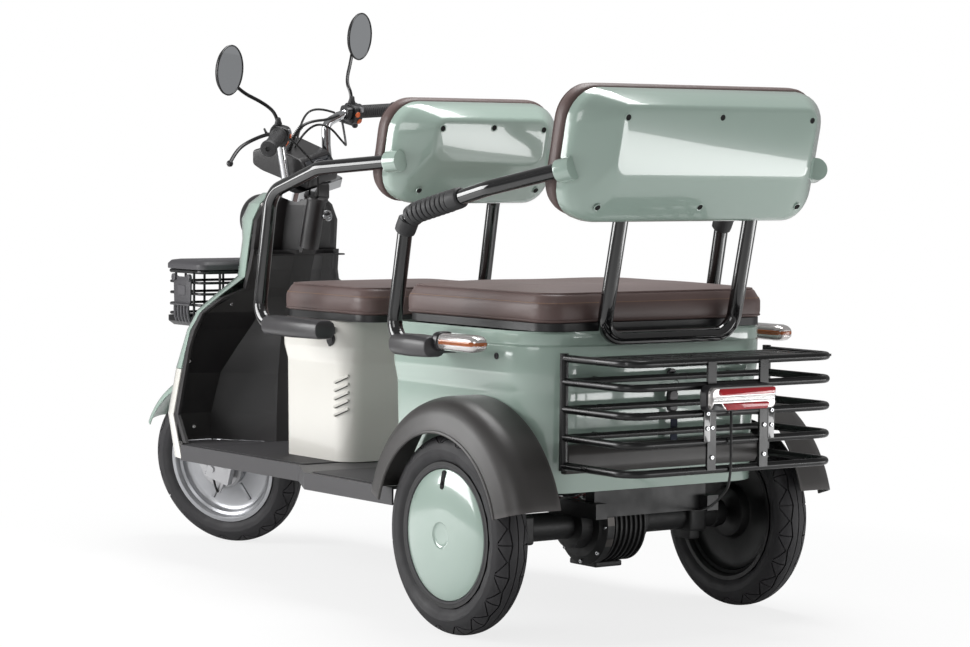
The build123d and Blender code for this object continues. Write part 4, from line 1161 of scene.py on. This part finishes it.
ARM_ROUTES = {
    "front": [point(478, 237, 978), point(660, 302, 962), point(838, 318, 905), point(893, 318, 601),
              point(760, 318, 601)],
    "rear": [point(-285, 341, 966), point(-130, 401, 929), point(118, 432, 868), point(170, 432, 601),
             point(60, 432, 601)],
}
arm_lines = {row: bent_line(route, ARM_BENDS) for row, route in ARM_ROUTES.items()}
add_piece("armrest_tubes", "chassis", "tube_black",
          [(tube(line, ARM_RADIUS, 32, order=2), BOTH) for line in arm_lines.values()],
          replaced=("armrests",))
rib = turned([(15.8, -6.8), (20.5, -6.6), (22.6, -5), (23.2, 0), (22.6, 5), (20.5, 6.6), (15.8, 6.8),
    (15.8, -6.8)], 40)
cuff = turned([(15.8, -16), (18.5, -16), (21.6, -13), (22.4, -6), (22.4, 15), (20.5, 16.5), (15.8, 16.5),
    (15.8, -16)], 40)
rib_spots = open_spread(arm_lines["rear"], 292, 420, GRIP_RIB_PITCH)
cuff_spots = open_spread(arm_lines["rear"], 270, 271, 30) + [
    spot @ Matrix.Rotation(math.pi, 4, "X") for spot in open_spread(arm_lines["rear"], 440, 441, 30)
]
add_piece("armrest_grip_ribs", "chassis", "grip_rubber", [
    (rib, rib_spots + [mirrored(spot) for spot in rib_spots]),
    (cuff, cuff_spots + [mirrored(spot) for spot in cuff_spots]),
], replaced=("armrest_grips",))

# ---------------------------------------------------------------- handlebar
def bar_place(side, distance):
    """A place on the outer bar, millimetres out from its elbow, local Z outward."""
    start, end = steered(34, side * 148, 1143), steered(-24, side * 298, 1147)
    run = (end - start).normalized()
    return facing(start + run * distance * MM, run, steered_way(0, 0, 1))


grip_line = [(11.2, 0), (19, 0), (20.5, 1.5), (20.5, 4), (18.5, 6)]
for i in range(17):
    grip_line += [(16.6, 8 + 6 * i), (16.6, 12 + 6 * i), (15.7, 12.5 + 6 * i), (15.7, 13.5 + 6 * i)]
grip_line += [(16.8, 111), (19.5, 113), (20, 116), (19.8, 121), (17.5, 124.5), (6, 125.5), (5, 122),
    (0, 122)]
add_piece("handlebar_grip_sleeves", "steering", "grip_rubber",
          [(turned(grip_line, 40), [bar_place(side, 39) for side in (1, -1)])],
          replaced=("handlebar_grips",))

housing = stacked([
    ((-23, 23), (-26, 20), 13, 13, 0), ((-24, 24), (-27, 21), 14, 14, 1.5),
    ((-24, 24), (-27, 21), 14, 14, 12),
    ((-23.2, 23.2), (-26.2, 20.2), 13, 13, 12.4), ((-23.2, 23.2), (-26.2, 20.2), 13, 13, 13.2),
    ((-24, 24), (-27, 21), 14, 14, 13.6), ((-24, 24), (-27, 21), 14, 14, 26),
    ((-22, 22), (-25, 19), 12, 12, 28),
], {1: 0.6, 6: 1})
perch = stacked([
    ((-16, 16), (-15, 15), 8, 8, -16), ((-17, 17), (-16, 16), 9, 9, -14), ((-17, 17), (-16, 16), 9, 9, 2),
    ((-15, 15), (-14, 14), 8, 8, 3),
])
forms, buttons, greys, levers = [(housing, []), (perch, [])], [], [], []
for side in (1, -1):
    spot = bar_place(side, 10)
    forms[0][1].append(spot)
    forms[1][1].append(spot)
    button_spot = spot @ facing(Vector((side * 23, 2, 9)) * MM, (side, 0.25, 0))
    grey_spot = spot @ facing(Vector((side * 22, 14, 20)) * MM, (side, 0.5, 0))
    buttons += [button_spot, spot @ facing(Vector((side * 21, -16, 20)) * MM, (side, -0.3, 0))]
    greys.append(grey_spot)
    pivot, knee = steered(60, side * 160, 1132), steered(92, side * 196, 1104)
    blade = tube([steered(34, side * 150, 1140), pivot, knee, steered(96, side * 236, 1086),
                  steered(76, side * 286, 1072)], 4.6, 16)
    ball = turned([(0, -8), (4.6, -7), (7.4, -3.4), (8, 0), (7.4, 3.4), (4.6, 7), (0, 8)], 24)
    levers += [(blade, HERE), (ball, Matrix.Translation(steered(75, side * 288, 1071)))]
button = turned([(0, -3), (7, -3), (7, 2.4), (6, 3.4), (0, 3.8)], 24)
grey_button = stacked([((-7, 7), (-4.5, 4.5), 3, 3, -2), ((-6, 6), (-3.5, 3.5), 2.5, 2.5, 4)])
add_piece("handlebar_switches", "steering", "black_plastic", forms, replaced=("handlebar_controls",))
add_piece("brake_levers", "steering", "black_plastic", levers, made=CASE_BLACK)
add_piece("switch_buttons", "steering", "black_plastic", [(button, buttons)], made=BUTTON_ORANGE)
add_piece("switch_rockers", "steering", "black_plastic", [(grey_button, greys)], made=BUTTON_GREY)

# instrument case: wedge with a raised bezel round the smoked window
SIDEWAYS = STEERING @ Matrix(((1, 0, 0, 0), (0, 0, -1, 0.069), (0, 1, 0, 0), (0, 0, 0, 1)))
case = drawn([
    (-25, 999), (-25, 1029), (14, 1063), (104, 1067), (148, 1039), (140, 1005), (112, 999),
], 138, 5, 4, rounds=7)
window_place = facing(steered(-6.2, 0, 1047), steered_way(-34, 0, 39), steered_way(39, 0, 34))
window = stacked([((-56, 56), (-16, 16), 8, 8, -2), ((-56, 56), (-16, 16), 8, 8, 0.6)], {1: 0.5})
frame_rim = tube(round_line((-58, 58), (-18, 18), 9, 9, 0.6), 1.6, 8, closed=True)
dial = [
    (tube([Vector((math.cos(a) * r, math.sin(a) * r * 0.6 - 9, 0.9)) * MM
           for a in (math.radians(20 + 20 * i) for i in range(8))], 0.8, 6), window_place)
    for r in (22, 34)
]
add_piece("dash_case", "steering", "black_plastic", [(case, SIDEWAYS)], made=SHIELD_BLACK,
    replaced=("dash",))
add_piece("dash_window", "steering", "black_plastic", [(window, window_place)], made=WINDOW)
add_piece("dash_window_rim", "steering", "black_plastic", [(frame_rim, window_place)], made=CASE_BLACK)
add_piece("dash_dial_marks", "steering", "black_plastic", dial, made=BUTTON_GREY)

# cables from the levers and switches, and the loom in its spiral wrap
CABLE_RADIUS = 2.8
CABLES = (
    ((70, 158, 1128), (104, 118, 1126), (120, 60, 1086), (92, -2, 1056)),
    ((22, 128, 1128), (-18, 96, 1094), (-38, 44, 1040), (-34, 24, 962)),
    ((70, -158, 1128), (104, -118, 1140), (110, -66, 1112), (78, -16, 1058)),
    ((30, -132, 1124), (-8, -112, 1076), (-20, -78, 1090), (20, -40, 1138), (58, -12, 1120), (70, 6, 1062)),
)
loom = [steered(*spot) for spot in ((64, 40, 1060), (60, 40, 1100), (52, 24, 1132), (44, -14, 1140),
                                    (36, -70, 1136), (36, -118, 1140))]
wrap = turned([(3.4, -1.8), (5.6, -1.6), (6, 0), (5.6, 1.6), (3.4, 1.8), (3.4, -1.8)], 16)
forms = [(tube([steered(*spot) for spot in route], CABLE_RADIUS, 12), HERE) for route in CABLES]
forms += [(tube(loom, 3.6, 12), HERE), (wrap, open_spread(loom, 2, 74, 4.6))]
add_piece("handlebar_cables", "steering", "black_plastic", forms, made=FINISHES["cable_black"])

# ---------------------------------------------------------------- mirrors
shell_line = [(0, 19), (14, 18.6), (30, 16.6), (44, 12.6), (54, 7.4), (59, 2.2), (60, -1.5), (58.6, -3.2),
    (56.6, -2.6),
              (56, 0.5), (0, 0.5)]
glass_line = [(0, -1.2), (56.4, -1.2), (56.4, 0.8), (0, 0.8)]
shells, glasses, stems, boots = [], [], [], []
for side in (1, -1):
    spot = facing(steered(122, side * 298, 1292), steered_way(1, 0, -0.25), steered_way(0, 0, 1))
    spot = spot @ Matrix.Diagonal((0.93, 1, 1, 1))
    shells.append(spot)
    glasses.append(spot)
    stem = [steered(32, side * 168, 1150), steered(40, side * 172, 1184), steered(72, side * 184, 1206),
            steered(112, side * 262, 1240), steered(132, side * 290, 1276)]
    stems.append((tube(stem, 4.4, 16), HERE))
    foot = facing(stem[0], stem[1] - stem[0], (0, 1, 0))
    boots.append(foot)
boot = turned([(0, 0), (11, 0), (11, 6), (9, 8), (10, 10), (8.4, 14), (9.2, 17), (7, 24), (6.2, 30),
    (4.6, 32), (0, 32)], 28)
back_boss = turned([(0, 10), (13, 10), (12, 20), (8, 27), (0, 28)], 28)
add_piece("mirror_shells", "steering", "black_plastic",
          [(turned(shell_line, 72), shells), (back_boss, shells)], replaced=("mirrors",))
add_piece("mirror_glasses", "steering", "black_plastic", [(turned(glass_line, 72), glasses)], made=SILVERED)
add_piece("mirror_stems", "steering", "black_plastic", stems, made=FINISHES["wire_black"])
add_piece("mirror_boots", "steering", "black_plastic", [(boot, boots)], made=FINISHES["grip_rubber"])

# ---------------------------------------------------------------- tail lamp, rack fittings, bumper
lamp = facing(point(-444, 15, 512), (-1, 0, 0))
case_form = stacked([
    ((-88, 88), (-25, 25), 14, 14, 0), ((-90, 90), (-27, 27), 14, 14, 3),
    ((-89, 89), (-26, 26), 13, 13, 20),
    ((-86, 86), (-24, 24), 12, 12, 22),
])
lens = stacked([
    ((-86, 86), (-23, 23.5), 12, 12, 20), ((-85.5, 85.5), (-22.5, 23), 12, 12, 30),
    ((-82, 82), (-20, 20), 10, 10, 33),
])
red_upper = stacked([((-66, 83), (7, 20.5), 5, 5, 30), ((-66, 83), (7, 20.5), 5, 5, 34),
    ((-64, 81), (8, 19), 4, 4, 35.2)])
red_lower = drawn([(-44, -22.5), (-56, -8.5), (62, -8.5), (66, -13), (60, -22.5)], 6, 1.2, rounds=2)
bright = block((164, 11, 4), 1.5)
dark_wedge = drawn([(-84, -21), (-80, -8), (-60, -8), (-48, -22.5), (-70, -23)], 3.6, 0.8, rounds=2)
add_piece("tail_lamp_case", "chassis", "red_lens", [(case_form, lamp)], made=CASE_BLACK,
    replaced=("tail_lamp",))
add_piece("tail_lamp_body", "chassis", "red_lens", [(lens, lamp)], made=LAMP_SILVER)
add_piece("tail_lamp_reds", "chassis", "red_lens",
          [(red_upper, lamp), (red_lower, lamp @ Matrix.Translation((0, 0, 30 * MM)))])
add_piece("tail_lamp_bright_bar", "chassis", "red_lens",
          [(bright, lamp @ Matrix.Translation(Vector((0, -0.5, 32.2)) * MM))], made=FINISHES["lamp_glass"])
add_piece("tail_lamp_wedge", "chassis", "red_lens",
          [(dark_wedge, lamp @ Matrix.Translation((0, 0, 30.5 * MM)))], made=CASE_BLACK)

rear = (-1, 0, 0)
bracket = stacked([((-8, 8), (-32, 32), 3, 3, 0), ((-8, 8), (-32, 32), 3, 3, 3)], {1: 0.6})
brackets = [facing(point(-440, y, 455), rear) for y in (82, -88)]
add_piece("rack_brackets", "chassis", "tube_black", [(bracket, brackets)])
heads = [facing(point(-442.2, y, z), rear) for y in (69, -69) for z in (452, 392)]
heads += [facing(point(-443.2, y, 451), rear) for y in (82, -88)]
heads += [facing(point(-443.2, y, 481), rear) for y in (82, -88)]
add_piece("rack_bolts", "chassis", "tube_black", [(bolt_head(4.6, 3.2), heads)], made=BOLT_STEEL)

bumper = drawn([
    (-185, 30), (-200, 30), (-211, 12), (-211, -18), (-202, -30), (-185, -30),
], 510, 2.5, 3, rounds=4)
bumper_spot = Matrix(((1, 0, 0, AXLE.x), (0, 0, -1, 0.255), (0, 1, 0, 0.375), (0, 0, 0, 1)))
add_piece("rear_bumper_moulding", "chassis", "dark_plastic", [(bumper, bumper_spot)],
    replaced=("rear_bumper",))

lead = [point(*spot) for spot in ((-446, 22, 486), (-446, 22, 430), (-446, 21, 372), (-432, 14, 330),
    (-396, 0, 306),
                                  (-258, -84, 262), (-150, -140, 240), (-60, -176, 236))]
add_piece("tail_lamp_lead", "chassis", "tube_black", [(tube(lead, CABLE_RADIUS, 12), HERE)],
    made=FINISHES["cable_black"])

# bench lock with its key ring, fob and strap
lock = turned([(0, 0), (12, 0), (12, 4), (10.5, 6), (6, 6), (5.4, 4.5), (0, 4.5)], 32)
lock_spot = facing(point(-196.5, -25, 541), rear)
key = block((2.4, 9, 24), 0.8)
ring = turned([(9, -0.9), (9.9, 0), (9, 0.9), (8.1, 0), (9, -0.9)], 32)
fob = stacked([
    ((-11, 11), (-21, 21), 9, 9, 0), ((-13, 13), (-23, 23), 10, 10, 3), ((-13, 13), (-23, 23), 10, 10, 9),
    ((-10, 10), (-20, 20), 8, 8, 12),
])
fob_spot = facing(point(-202, -20, 486), rear)
strap = stacked([((-9, 9), (-31, 31), 2, 2, 0), ((-9, 9), (-31, 31), 2, 2, 1.8)], {1: 0.6})
add_piece("bench_lock", "chassis", "green_paint", [(lock, lock_spot)], made=CASE_BLACK)
add_piece("bench_key", "chassis", "green_paint", [
    (key, lock_spot @ Matrix.Translation((0, 0, 12 * MM))),
    (ring, facing(point(-214, -24, 520), (0, 1, 0.2))),
], made=BOLT_STEEL)
add_piece("key_fob", "chassis", "green_paint", [(fob, fob_spot)], made=CASE_BLACK)
add_piece("key_strap", "chassis", "green_paint", [(strap, facing(point(-204, -28, 432), rear))],
    made=STRAP_NAVY)

# ---------------------------------------------------------------- rear axle and motor
motor_line = [(0, -98), (40, -98), (46, -92), (46, -64), (74, -64), (78, -60)]
for i in range(7):
    motor_line += [(78, -56 + 13 * i), (84, -55 + 13 * i), (84, -51 + 13 * i), (78, -50 + 13 * i)]
motor_line += [(86, 32), (88, 34), (88, 52), (86, 54), (76, 56), (70, 62), (52, 64), (50, 92), (34, 97),
    (0, 97)]
axle_spot = facing(Vector((AXLE.x, 0, AXLE.z)), (0, 1, 0))
tube_line = [(0, -328), (30, -328), (30, -316), (33, -314), (33, -300), (30, -298), (30, 298), (33, 300),
    (33, 314),
             (30, 316), (30, 328), (0, 328)]
pin = [(0, -404), (10, -404), (10, 404), (0, 404)]
saddles = [Matrix.Translation(Vector((AXLE.x, s * 0.235, AXLE.z))) for s in (1, -1)]
lugs = [Matrix.Translation(Vector((AXLE.x, s * 0.235, AXLE.z - 0.038))) for s in (1, -1)]
through = [facing(Vector((AXLE.x, 0.0545, AXLE.z)), (0, 1, 0)) @ Matrix.Rotation(math.tau * i / 8, 4, "Z")
           @ Matrix.Translation((0.081, 0, 0)) for i in range(8)]
add_piece("axle_and_motor", "chassis", "cast_grey", [
    (turned(motor_line, 72), axle_spot), (turned(tube_line, 48), axle_spot), (turned(pin, 24), axle_spot),
    (block((86, 46, 62), 6), saddles), (block((60, 30, 24), 4), lugs),
    (block((92, 72, 12), 3), Matrix.Translation(Vector((AXLE.x + 0.02, 0, AXLE.z - 0.088)))),
    (block((40, 60, 34), 5), Matrix.Translation(Vector((AXLE.x - 0.05, 0.02, AXLE.z + 0.075)))),
], replaced=("rear_axle",))
add_piece("axle_bolts", "chassis", "cast_grey", [(bolt_head(4.5, 4), through)], made=BOLT_STEEL)
labels = [
    facing(Vector((AXLE.x, 0, AXLE.z)), (-math.cos(t), 0, math.sin(t))) @ Matrix.Translation((-0.044, 0,
        0.0888))
    for t in (math.radians(8), math.radians(-22))
]
add_piece("motor_foil_plates", "chassis", "cast_grey",
          [(stacked([((-9, 9), (-9, 9), 1.5, 1.5, -0.5), ((-9, 9), (-9, 9), 1.5, 1.5, 0.3)]), labels)],
          made=FOIL)
wires = [
    tube([point(-40, 60, 282), point(-70, 84, 296), point(-86, 118, 284), point(-60, 150, 268),
        point(-20, 176, 290)],
         2.4, 10),
    tube([point(-30, 52, 280), point(-66, 70, 300), point(-92, 108, 292), point(-66, 160, 280),
        point(-20, 190, 292)],
         2.4, 10),
]
add_piece("motor_leads_red", "chassis", "cast_grey", [(wires[0], HERE)], made=RED_WIRE)
add_piece("motor_leads_black", "chassis", "cast_grey", [(wires[1], HERE)], made=FINISHES["cable_black"])
add_piece("motor_connector", "chassis", "cast_grey",
          [(block((26, 34, 24), 5), Matrix.Translation(point(-84, 112, 286)))], made=FINISHES["lamp_glass"])

# shock absorbers: piston and coil spring
coil = [
    Vector((math.cos(i * math.tau / 12) * 21, math.sin(i * math.tau / 12) * 21, 4 + i * 0.62)) * MM
    for i in range(74)
]
damper = turned([(0, 0), (13, 0), (13, 34), (9, 35), (9, 54), (0, 54)], 28)
stands = [Matrix.Translation(Vector((AXLE.x, s * 0.235, AXLE.z + 0.035))) for s in (1, -1)]
add_piece("shock_springs", "chassis", "spring_steel", [(tube(coil, 3.4, 10), stands), (damper, stands)],
          made=FINISHES["frame_paint"], replaced=("rear_shocks",))

# ---------------------------------------------------------------- basket
# the basket's back, front and half width, in millimetres from the rear axle
BASKET_BACK, BASKET_FRONT, BASKET_HALF = 1410.0, 1592.0, 168.0


def basket_line(z, inset=6):
    """One wire ring's line round the basket."""
    return [Vector((AXLE.x, 0, 0)) + co for co in round_line(
        (BASKET_BACK + inset, BASKET_FRONT - inset), (-BASKET_HALF + inset, BASKET_HALF - inset), 22, 22, z,
    )]


forms = [(tube(basket_line(z), 5 if z > 690 else 3.5, 16, closed=True, order=2), HERE)
         for z in (695, 668, 640, 612, 588)]
upright = turned([(0, 0), (3.2, 0), (3.2, 128), (0, 128)], 12)
spots = []
for x in (BASKET_BACK + 6, BASKET_FRONT - 6):
    spots += [
        Matrix.Translation(point(x, BASKET_HALF * share, 568)) for share in (-0.66, -0.33, 0, 0.33, 0.66)
    ]
for y in (-BASKET_HALF + 6, BASKET_HALF - 6):
    spots += [Matrix.Translation(point((BASKET_BACK + BASKET_FRONT) / 2 + x, y, 568)) for x in (-45, 45)]
forms.append((upright, spots))
tray = stacked([
    ((BASKET_BACK + 12, BASKET_FRONT - 12), (-BASKET_HALF + 12, BASKET_HALF - 12), 18, 18, 558),
    ((BASKET_BACK, BASKET_FRONT), (-BASKET_HALF, BASKET_HALF), 25, 25, 568),
    ((BASKET_BACK, BASKET_FRONT), (-BASKET_HALF, BASKET_HALF), 25, 25, 582),
    ((BASKET_BACK + 4, BASKET_FRONT - 4), (-BASKET_HALF + 4, BASKET_HALF - 4), 22, 22, 582),
    ((BASKET_BACK + 5, BASKET_FRONT - 5), (-BASKET_HALF + 5, BASKET_HALF - 5), 21, 21, 566),
], {1: 2})
forms.append((tray, CHASSIS))
add_piece("basket_wires", "chassis", "wire_black", forms, replaced=("basket",))

plate_form = drawn([(-40, -34), (40, -34), (43, 26), (36, 40), (24, 34), (-24, 34), (-36, 40), (-43, 26)],
    5, 1.5, rounds=5)
pocket = stacked([((-20, 20), (-14, 14), 5, 5, 4), ((-18, 18), (-12, 12), 4, 4, 7)])
ledge = block((96, 5, 12), 2)
finger = tube([
    Vector(spot) * MM for spot in ((0, -36, 6), (0, -56, 7), (0, -76, 2), (0, -86, -10), (0, -88, -26))
], 4, 10)
lug = turned([(0, 0), (9, 0), (9, 8), (6, 9), (0, 7.5)], 24)
side_spots = [facing(point((BASKET_BACK + BASKET_FRONT) / 2, 166, 648), (0, 1, 0))]
side_spots.append(mirrored(side_spots[0]))
forms = [(plate_form, side_spots), (pocket, side_spots)]
forms.append((ledge, [s @ Matrix.Translation(Vector((0, -36, 7)) * MM) for s in side_spots]))
forms.append((finger, [
    s @ Matrix.Translation(Vector((x, 0, 0)) * MM) for s in side_spots for x in (-32, -16, 0, 16, 32)
]))
forms.append((lug, [
    s @ Matrix.Translation(Vector((x, 32, 2)) * MM) for s in side_spots for x in (-36, 36)
]))
add_piece("basket_side_plates", "chassis", "wire_black", forms, made=FINISHES["grey_plastic"])

lid = stacked([
    ((BASKET_BACK - 1, BASKET_FRONT + 1), (-BASKET_HALF - 1, BASKET_HALF + 1), 26, 26, 701),
    ((BASKET_BACK - 2, BASKET_FRONT + 2), (-BASKET_HALF - 2, BASKET_HALF + 2), 27, 27, 703),
    ((BASKET_BACK - 2, BASKET_FRONT + 2), (-BASKET_HALF - 2, BASKET_HALF + 2), 27, 27, 713),
    ((BASKET_BACK + 6, BASKET_FRONT - 6), (-BASKET_HALF + 6, BASKET_HALF - 6), 22, 22, 722),
    ((BASKET_BACK + 22, BASKET_FRONT - 22), (-BASKET_HALF + 24, BASKET_HALF - 24), 14, 14, 724.5),
    ((BASKET_BACK + 26, BASKET_FRONT - 26), (-BASKET_HALF + 28, BASKET_HALF - 28), 12, 12, 721),
], {2: 2, 3: 3})
ridge = stacked([((-52, 52), (-9, 9), 8, 8, 0), ((-48, 48), (-5, 5), 5, 5, 4)])
ridges = [
    Matrix.Translation(point((BASKET_BACK + BASKET_FRONT) / 2, y, 720.5))
    for y in (-108, -72, -36, 0, 36, 72, 108)
]
catch = block((10, 34, 16), 3)
add_piece("basket_lid_panel", "basket_lid", "grey_plastic", [
    (lid, CHASSIS), (ridge, ridges), (catch, Matrix.Translation(point(BASKET_FRONT - 1, 0, 708))),
], replaced=("basket_lid",))

# ---------------------------------------------------------------- shield, floor and front
screw = bolt_head(4.2, 2.6)
spots = []
for x, y, z in ((1288, 256, 573), (1300, 266, 484), (1258, 172, 624), (1304, 250, 323), (1246, 101, 662)):
    head = facing(point(x, y, z), (-1, 0, 0.1))
    spots += [head, mirrored(head)]
add_piece("leg_shield_screws", "chassis", "black_plastic", [(screw, spots)], made=BOLT_STEEL)
column = tube([point(1176, 0, 764), point(1150, 0, 852), point(1141, 0, 884)], 24, 32)
collar = turned([(0, -4), (27, -4), (28, 0), (27, 5), (22, 7), (0, 7)], 40)
hook = tube([point(1140, -25, 846), point(1126, -25, 846), point(1120, -25, 852)], 4, 12)
lock_ring = turned([(0, 0), (14, 0), (14, 3), (12, 5), (7, 5), (6.5, 3.4), (0, 3.4)], 32)
add_piece("steering_column_cover", "chassis", "black_plastic", [
    (column, HERE), (collar, facing(point(1141, 0, 884), (-0.26, 0, 0.97))), (hook, HERE),
    (block((30, 62, 40), 6), Matrix.Translation(point(1150, -4, 902))),
], made=SHIELD_BLACK)
add_piece("ignition_lock", "chassis", "black_plastic",
          [(lock_ring, facing(point(1134, -25, 842), (-1, 0, 0.2)))], made=BOLT_STEEL)

# the rubber mats lie on the floor's top face
FLOOR_TOP = Matrix.Translation((0, 0, 0.2822))
MAT_THICK, MAT_EASE = 2.2, 0.9
mat = drawn([(735, -292), (1214, -292), (1214, 292), (735, 292)], MAT_THICK, MAT_EASE, rounds=14)
add_piece("floor_mat", "chassis", "floor_plastic",
          [(mat, CHASSIS @ FLOOR_TOP)], made=MAT_RUBBER)
step_mat = drawn([(300, -366), (592, -366), (592, 366), (300, 366)], MAT_THICK, MAT_EASE, rounds=14)
add_piece("step_mat", "chassis", "floor_plastic",
          [(step_mat, CHASSIS @ FLOOR_TOP)], made=MAT_RUBBER)

lamp_front = facing(point(1392, 0, 828), (1, 0, 0))
bezel = turned([(52, -14), (62, -14), (64, -4), (63, 8), (58, 15), (53, 14), (52, 8), (52, -14)], 72)
bowl = turned([(0, -10), (20, -9), (40, -4), (52, 6), (52, 2), (40, -8), (20, -13), (0, -14)], 72)
front_glass = turned([(0, 17), (20, 16.2), (38, 14), (50, 10.5), (52.5, 8.5), (52.5, 7), (38, 11.5),
    (20, 14), (0, 14.6)], 72)
bulb = turned([(0, -10), (7, -10), (7, -2), (9, 2), (8, 8), (4, 11), (0, 11.5)], 28)
add_piece("headlamp_bezel", "chassis", "lamp_glass", [(bezel, lamp_front)], made=CASE_BLACK)
add_piece("headlamp_bowl", "chassis", "lamp_glass", [(bowl, lamp_front), (bulb, lamp_front)],
    made=LAMP_SILVER)
add_piece("headlamp_lens", "chassis", "lamp_glass", [(front_glass, lamp_front)], replaced=("headlamp",))

guard = arc_cover([
    (224, -50), (230, -46), (238, -36), (242, -20), (243, 0), (242, 20), (238, 36), (230, 46), (224, 50),
], 2.6, -152, -27, 56)
# the guard is swept about the wheel's axle, then turned upright with the fork's rake
guard_place = Matrix.Translation(FRONT_HUB) @ STEERING.to_3x3().to_4x4() @ Matrix.Rotation(RAKE, 4, "Y")
guard_place = guard_place @ Matrix.Rotation(math.pi / 2, 4, "X")
add_piece("front_mudguard_moulding", "steering", "green_paint",
    [(guard, guard_place @ Matrix.Rotation(math.pi, 4, "Z"))],
    replaced=("front_mudguard",))


# ---------------------------------------------------------------- stage, light and camera
def soft_box(name, spot, aim, width, height, power):
    """An area lamp at spot, turned to aim."""
    data = bpy.data.lights.new(name, "AREA")
    data.shape = "RECTANGLE"
    data.size, data.size_y = width, height
    data.energy = power
    lamp = bpy.data.objects.new(name, data)
    bpy.context.scene.collection.objects.link(lamp)
    lamp.location = spot
    lamp.rotation_euler = (Vector(aim) - Vector(spot)).to_track_quat("-Z", "Y").to_euler()
    lamp.visible_camera = False


def studio():
    """White paper sweep that keeps only the contact shadows, and four soft boxes."""
    bm = bmesh.new()
    bmesh.ops.create_circle(bm, cap_ends=True, segments=96, radius=16)
    floor = object_from("studio_floor", bm)
    paper = bpy.data.materials.new("studio_paper_white")
    paper.use_nodes = True
    tree = paper.node_tree
    shader = tree.nodes["Principled BSDF"]
    shader.inputs["Base Color"].default_value = srgb("#f0f0f0")
    shader.inputs["Roughness"].default_value = 0.9
    spot = add_node(tree, "TexCoord").outputs["Object"]
    reach = add_node(tree, "VectorMath", {"operation": "LENGTH"}, {0: spot})
    burnt_out = add_node(
        tree, "MapRange", {"From Min": 0.9, "From Max": 1.7, "To Min": 0.80, "To Max": 1.0},
        {"Value": reach.outputs["Value"]},
    )
    rays = add_node(tree, "LightPath")
    share = add_node(
        tree, "Math", {"operation": "MULTIPLY"},
        {0: rays.outputs["Is Camera Ray"], 1: burnt_out.outputs["Result"]},
    )
    glow = add_node(tree, "Emission", {"Color": (1, 1, 1, 1), "Strength": 1.0})
    mixed = add_node(
        tree, "MixShader", {},
        {0: share.outputs[0], 1: shader.outputs["BSDF"], 2: glow.outputs["Emission"]},
    )
    tree.links.new(mixed.outputs[0], tree.nodes["Material Output"].inputs["Surface"])
    floor.data.materials.append(paper)

    world = bpy.data.worlds.new("studio_air")
    bpy.context.scene.world = world
    world.use_nodes = True
    tree = world.node_tree
    rays = add_node(tree, "LightPath")
    seen = add_node(
        tree, "Math", {"operation": "MAXIMUM"},
        {0: rays.outputs["Is Camera Ray"], 1: rays.outputs["Is Transmission Ray"]},
    )
    strength = add_node(
        tree, "MapRange", {"To Min": 0.30, "To Max": 1.0}, {"Value": seen.outputs[0]},
    )
    tree.links.new(strength.outputs["Result"], tree.nodes["Background"].inputs["Strength"])
    tree.nodes["Background"].inputs["Color"].default_value = (1, 1, 1, 1)

    soft_box("key_front_left", (1.5, 2.7, 1.35), (-0.2, 0, 0.5), 2.0, 1.7, 85)
    soft_box("overhead", (-0.1, -0.5, 3.1), (-0.1, 0, 0.5), 2.4, 1.4, 80)
    soft_box("low_rear", (-2.35, -1.35, 0.22), (-0.85, 0, 0.95), 2.2, 0.34, 14)
    soft_box("fill_left", (-2.2, 3.6, 1.6), (-0.2, 0, 0.6), 1.6, 1.6, 22)


def view_camera():
    """A long lens low behind the left side."""
    yaw, pitch, roll = (math.radians(a) for a in (-35.907, -3.323, 0.492))
    ahead = Vector((math.cos(yaw) * math.cos(pitch), math.sin(yaw) * math.cos(pitch), math.sin(pitch)))
    right = ahead.cross(Vector((0, 0, 1))).normalized()
    up = right.cross(ahead)
    turned_right = math.cos(roll) * right + math.sin(roll) * up
    turned_up = -math.sin(roll) * right + math.cos(roll) * up
    data = bpy.data.cameras.new("view_camera")
    data.lens = 109.35
    data.sensor_width = 36.0
    camera = bpy.data.objects.new("view_camera", data)
    bpy.context.scene.collection.objects.link(camera)
    turn = Matrix((turned_right, turned_up, -ahead)).transposed().to_4x4()
    camera.matrix_world = Matrix.Translation((-5.570, 3.900, 1.0005)) @ turn
    bpy.context.scene.camera = camera


studio()
view_camera()
bpy.context.scene.view_settings.view_transform = "Standard"
